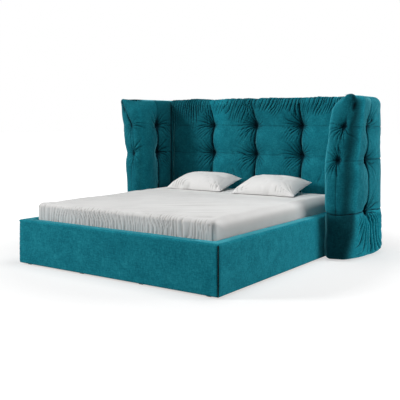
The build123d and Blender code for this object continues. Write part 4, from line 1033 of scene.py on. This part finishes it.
def sheetPiece():
    s = bedSet
    gap = s["sheetGap"]
    outline = bedOutline(s["halfWidth"] + gap, s["foot"] - gap, s["head"] + gap, s["corner"], 0.0075)
    body, inner, outward = blockRings(outline, s["edge"], s["top"] + gap, s["sheetLow"], 110)
    rings = np.concatenate([body, inner], 0)
    x, y, z = rings[..., 0], rings[..., 1], rings[..., 2]
    normals = np.zeros_like(rings)
    normals[..., :2] = outward[None]
    rise = easeIn(z, s["top"] + gap - s["edge"], s["top"] + gap)[..., None]
    normals = normals * (1 - rise) + np.array([0, 0, 1.0]) * rise
    normals /= np.linalg.norm(normals, axis=-1, keepdims=True)
    toFoot = np.clip((s["foot"] + 0.30 - y) / 0.30, 0, 1)
    foot = near(np.maximum(y - s["foot"], 0), 0, s["gatherReach"], 1.3)
    # gathers of the elastic at the foot end, from the hem up and a little over the edge
    down = np.clip(s["top"] + gap - z, 0, 1)
    phase = x / s["gatherSpacing"] + 1.2 * softNoise(x * 7, down * 9, 401)
    phase = phase + 0.35 * softNoise(x * 23, down * 5, 402)
    lean = x / 0.030 + 0.22 * (down * 18) + 0.9 * softNoise(x * 7, 0 * x, 401)
    wave = 0.7 * (roundFold(phase, 0.6) - 0.68) + 0.3 * (roundFold(0.61 * lean) - 0.6)
    reachIn = np.clip(1.15 + 0.9 * softNoise(x * 12, 0 * x, 404), 0.2, 2.0)
    foot = np.clip(foot, 1e-6, 1) ** (1 / reachIn)
    amount = s["gatherDepth"] * foot * (0.85 + 0.40 * softNoise(x * 9, down * 4, 403))
    amount = amount * (0.50 + 0.50 * easeIn(down, 0.0, 0.03))
    lift = amount * wave
    # smaller drag lines down the long sides
    sides = easeIn(np.abs(x), 0.86, 0.893) * (1 - foot)
    lift = lift + 0.0012 * sides * easeIn(down, 0.0, 0.05) * softNoise(y * 9 + down * 12, down * 3, 404)
    # long slack folds over the top, running from the foot corner to the head
    flatTop = easeIn(z, s["top"] + gap - 0.004, s["top"] + gap)
    skew = 0.80 * x + 0.60 * y
    cross = -0.60 * x + 0.80 * y
    folds = softNoise(skew * 1.4 + 3, cross * 6.5, 411) + 0.55 * softNoise(skew * 2.6, cross * 15, 412)
    lift = lift + flatTop * (s["topFolds"] * folds + 0.0022 * softNoise(x * 22, y * 5, 413) * toFoot)
    lift = lift - flatTop * 0.0010
    # folded corners at the foot: a tuck on the foot side
    for side in (-1, 1):
        tuck = near(x, side * 0.862, 0.0075) * foot * easeIn(down, 0.012, 0.045)
        flap = near(x, side * 0.878, 0.010) * foot * easeIn(down, 0.010, 0.04)
        lift = lift - 0.007 * tuck + 0.003 * flap
    rings = rings + normals * lift[..., None]
    # the cloth stays between the mattress and the rails
    inside = s["halfWidth"] + 0.0004
    keepOut = (rings[..., 2] < s["top"] - s["edge"])
    held = np.clip(rings[..., 1], s["footStop"], s["foot"] - 0.0006)
    rings[..., 1] = np.where(keepOut & (y < s["foot"] + 0.001), held, rings[..., 1])
    held = np.sign(x) * np.clip(np.abs(rings[..., 0]), inside, s["sideStop"])
    rings[..., 0] = np.where(keepOut & (np.abs(x) > inside), held, rings[..., 0])
    rings[..., 2] = np.where(flatTop > 0.5, np.maximum(rings[..., 2], s["top"] + 0.0006), rings[..., 2])
    # painted shade in the sheet's creases and lower down its long sides, fading out towards the head
    paintedShade = hollows(rings, normals, True, s["hollowSpans"])
    paintedShade = np.clip(paintedShade + s["sideShade"] * sides * easeIn(down, 0.01, 0.07) * easeOut(y, 0.0, 0.7), 0, 1)
    piece = makePiece("fittedSheetCloth", rings, gridFaces(len(rings), len(outline), wrapCols=True),
                      finishes["sheet_cotton"], "lift", creaseAngle=80, paintedShade=paintedShade)
    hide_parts("fitted_sheet")


pillowSet = {
    "width": 0.650, "depth": 0.425, "height": 0.158, "pull": 0.085, "tilt": 13.0, "under": 0.36,
    "sink": 0.020, "columns": 96, "rows": 66, "edgeFold": 0.017, "edgeSpacing": 0.052,
    "cornerFold": 0.014, "cornerReach": 0.13, "hollowSpans": ((1.5, 0.0020), (5.0, 0.012)),
    "left": (-0.400, 0.690, 1.5), "right": (0.385, 0.676, 2.5),
}


def pillowPiece(name, node, place, seed):
    s = pillowSet
    columns, rows = s["columns"], s["rows"]
    u, v = np.meshgrid(*(np.sin(np.linspace(-1, 1, n) * math.pi / 2) for n in (columns, rows)))
    x = s["width"] / 2 * u * (1 - s["pull"] * (1 - v ** 2) * np.abs(u))
    y = s["depth"] / 2 * v * (1 - 1.3 * s["pull"] * (1 - u ** 2) * np.abs(v))
    y = y + 0.007 * softNoise(x * 16, 0 * y, seed + 6) * np.clip(-v, 0, 1) ** 4   # uneven front edge
    dome = ((1 - np.abs(u) ** 3.2) * (1 - np.abs(v) ** 2.6)) ** 0.58
    spots = [(a * s["width"] / 2, b * s["depth"] / 2) for a in (-1, 1) for b in (-1, 1)]
    folds = puckers(x, y, spots, s["cornerReach"], s["cornerFold"], 26, seed)
    soft = 0.005 * softNoise(x * 9, y * 9, seed + 1) + 0.002 * softNoise(x * 24, y * 24, seed + 2)
    ridge = roundFold(x / s["edgeSpacing"] + 1.8 * softNoise(x * 8, y * 6, seed + 3), 0.6) - 0.68
    edgeFold = s["edgeFold"] * ridge * near(v, -1.0, 0.28) * (0.6 + 0.9 * softNoise(x * 7, 0 * y, seed + 4))
    upper = s["height"] * (1 - s["under"]) * dome + (folds + soft + edgeFold) * np.clip(dome * 3, 0, 1)
    lower = -s["height"] * s["under"] * dome
    layers = []
    lean = Matrix.Rotation(math.radians(s["tilt"]), 3, "X")
    turned = np.array(Matrix.Rotation(math.radians(place[2]), 3, "Z") @ lean)
    for z in (upper, lower):
        layers.append(np.stack([x, y, z], -1) @ turned.T + np.array([place[0], place[1], 0]))
    low = min(layer[..., 2].min() for layer in layers)
    rest = bedSet["top"] + bedSet["sheetGap"] + 0.0035
    for layer in layers:
        layer[..., 2] += rest - low - s["sink"]
        layer[..., 2] = np.maximum(layer[..., 2], rest)
    normals = gridNormals(layers[0], False)
    normals *= np.sign(normals[..., 2:3].mean())
    # painted shade in the creases of the pillow's upper face, none on its underside
    paintedShade = hollows(layers[0], normals, False, s["hollowSpans"]) * np.clip(dome * 2, 0, 1)
    paintedShade = np.concatenate([paintedShade.ravel(), 0 * paintedShade.ravel()])
    points = np.concatenate([layers[0].reshape(-1, 3), layers[1].reshape(-1, 3)], 0)
    faces = gridFaces(rows, columns)
    faces += [[q + rows * columns for q in face[::-1]] for face in gridFaces(rows, columns)]
    piece = makePiece(name, points, faces, finishes["sheet_cotton"], "lift", creaseAngle=120,
                      paintedShade=paintedShade)
    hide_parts(node)


mattressPiece()
sheetPiece()
pillowPiece("pillowRightFilled", "pillow_right", pillowSet["right"], 500)
pillowPiece("pillowLeftFilled", "pillow_left", pillowSet["left"], 520)


# studio: pale floor, soft light, white behind
studioSet = {
    "ambient": 0.025, "floorColour": (0.48, 0.48, 0.48), "floorGlow": 0.56, "farGlow": 1.1,
    "glowSpan": (1.6, 4.2),
    # lamps: name, place, aim, size, power
    "lamps": (("keyLamp", (-7.6, -7.4, 4.9), (0.2, 0.2, 0.6), 2.6, 930.0),
              ("rimLamp", (6.0, 2.7, 1.75), (0.9, 0.0, 0.5), 3.0, 228.0),
              ("topLamp", (0.9, -0.2, 4.4), (0.2, 0, 0), 3.0, 96.0)),
}


def addLamp(name, place, aim, size, power):
    lamp = bpy.data.lights.new(name, "AREA")
    lamp.shape, lamp.size, lamp.energy = "DISK", size, power
    holder = newObject(name, lamp)
    holder.location = place
    holder.rotation_euler = (Vector(aim) - Vector(place)).to_track_quat("-Z", "Y").to_euler()


def seenDirectly(nodes):
    # 1 for what the camera, a mirror or a glass sees, 0 for what only lights
    path = nodes.new("ShaderNodeLightPath")
    first = nodes.new("ShaderNodeMath")
    second = nodes.new("ShaderNodeMath")
    first.operation, second.operation, second.use_clamp = "ADD", "ADD", True
    link(path.outputs["Is Camera Ray"], first.inputs[0])
    link(path.outputs["Is Glossy Ray"], first.inputs[1])
    link(first.outputs[0], second.inputs[0])
    link(path.outputs["Is Transmission Ray"], second.inputs[1])
    return second.outputs[0]


def whiteWorld():
    # white where it is seen directly, a faint light elsewhere
    world = bpy.data.worlds.new("studioWorld")
    bpy.context.scene.world = world
    world.use_nodes = True
    nodes = world.node_tree.nodes
    nodes.clear()
    light, seen = nodes.new("ShaderNodeBackground"), nodes.new("ShaderNodeBackground")
    for shade, strength in ((light, studioSet["ambient"]), (seen, 1.0)):
        setInputs(shade, {"Color": (1, 1, 1, 1), "Strength": strength})
    mix, out = nodes.new("ShaderNodeMixShader"), nodes.new("ShaderNodeOutputWorld")
    link(seenDirectly(nodes), mix.inputs["Fac"])
    link(light.outputs[0], mix.inputs[1])
    link(seen.outputs[0], mix.inputs[2])
    link(mix.outputs[0], out.inputs["Surface"])


def floorFinish():
    # pale grey that runs out to white well away from the bed and keeps the bed's shadow
    s = studioSet
    finish, nodes, shader = startFinish("paleFloor")
    faint = noiseNode(nodes, placeNode(nodes), 3, 3)
    low = [c * 0.985 for c in s["floorColour"]]
    colour = rampNode(nodes, faint, [(0.3, low), (0.7, s["floorColour"])])
    link(colour, shader.inputs["Base Color"])
    setInputs(shader, {"Roughness": 0.9, "Specular IOR Level": 0.1})
    glow, total = nodes.new("ShaderNodeEmission"), nodes.new("ShaderNodeAddShader")
    middle = nodes.new("ShaderNodeVectorMath")
    middle.operation = "LENGTH"
    link(placeNode(nodes), middle.inputs[0])
    spread = nodes.new("ShaderNodeMapRange")
    start, stop = s["glowSpan"]
    setInputs(spread, {"From Min": start, "From Max": stop, "To Min": s["floorGlow"], "To Max": s["farGlow"]})
    link(middle.outputs["Value"], spread.inputs["Value"])
    amount = nodes.new("ShaderNodeMath")
    amount.operation = "MULTIPLY"
    link(spread.outputs["Result"], amount.inputs[1])
    link(seenDirectly(nodes), amount.inputs[0])
    link(amount.outputs[0], glow.inputs["Strength"])
    out = [n for n in nodes if n.type == "OUTPUT_MATERIAL"][0]
    link(shader.outputs[0], total.inputs[0])
    link(glow.outputs[0], total.inputs[1])
    link(total.outputs[0], out.inputs["Surface"])
    return finish


def buildStudio():
    whiteWorld()
    mesh = bpy.data.meshes.new("studioFloor")
    wide, low = 45.0, -0.0005
    corners = [(x * wide, y * wide, low) for x, y in ((-1, -1), (1, -1), (1, 1), (-1, 1))]
    mesh.from_pydata(corners, [], [(0, 1, 2, 3)])
    mesh.materials.append(floorFinish())
    floor = newObject("studioFloor", mesh)
    for lamp in studioSet["lamps"]:
        addLamp(*lamp)
    bpy.context.scene.view_settings.view_transform = "Standard"


buildStudio()
print("studio built")
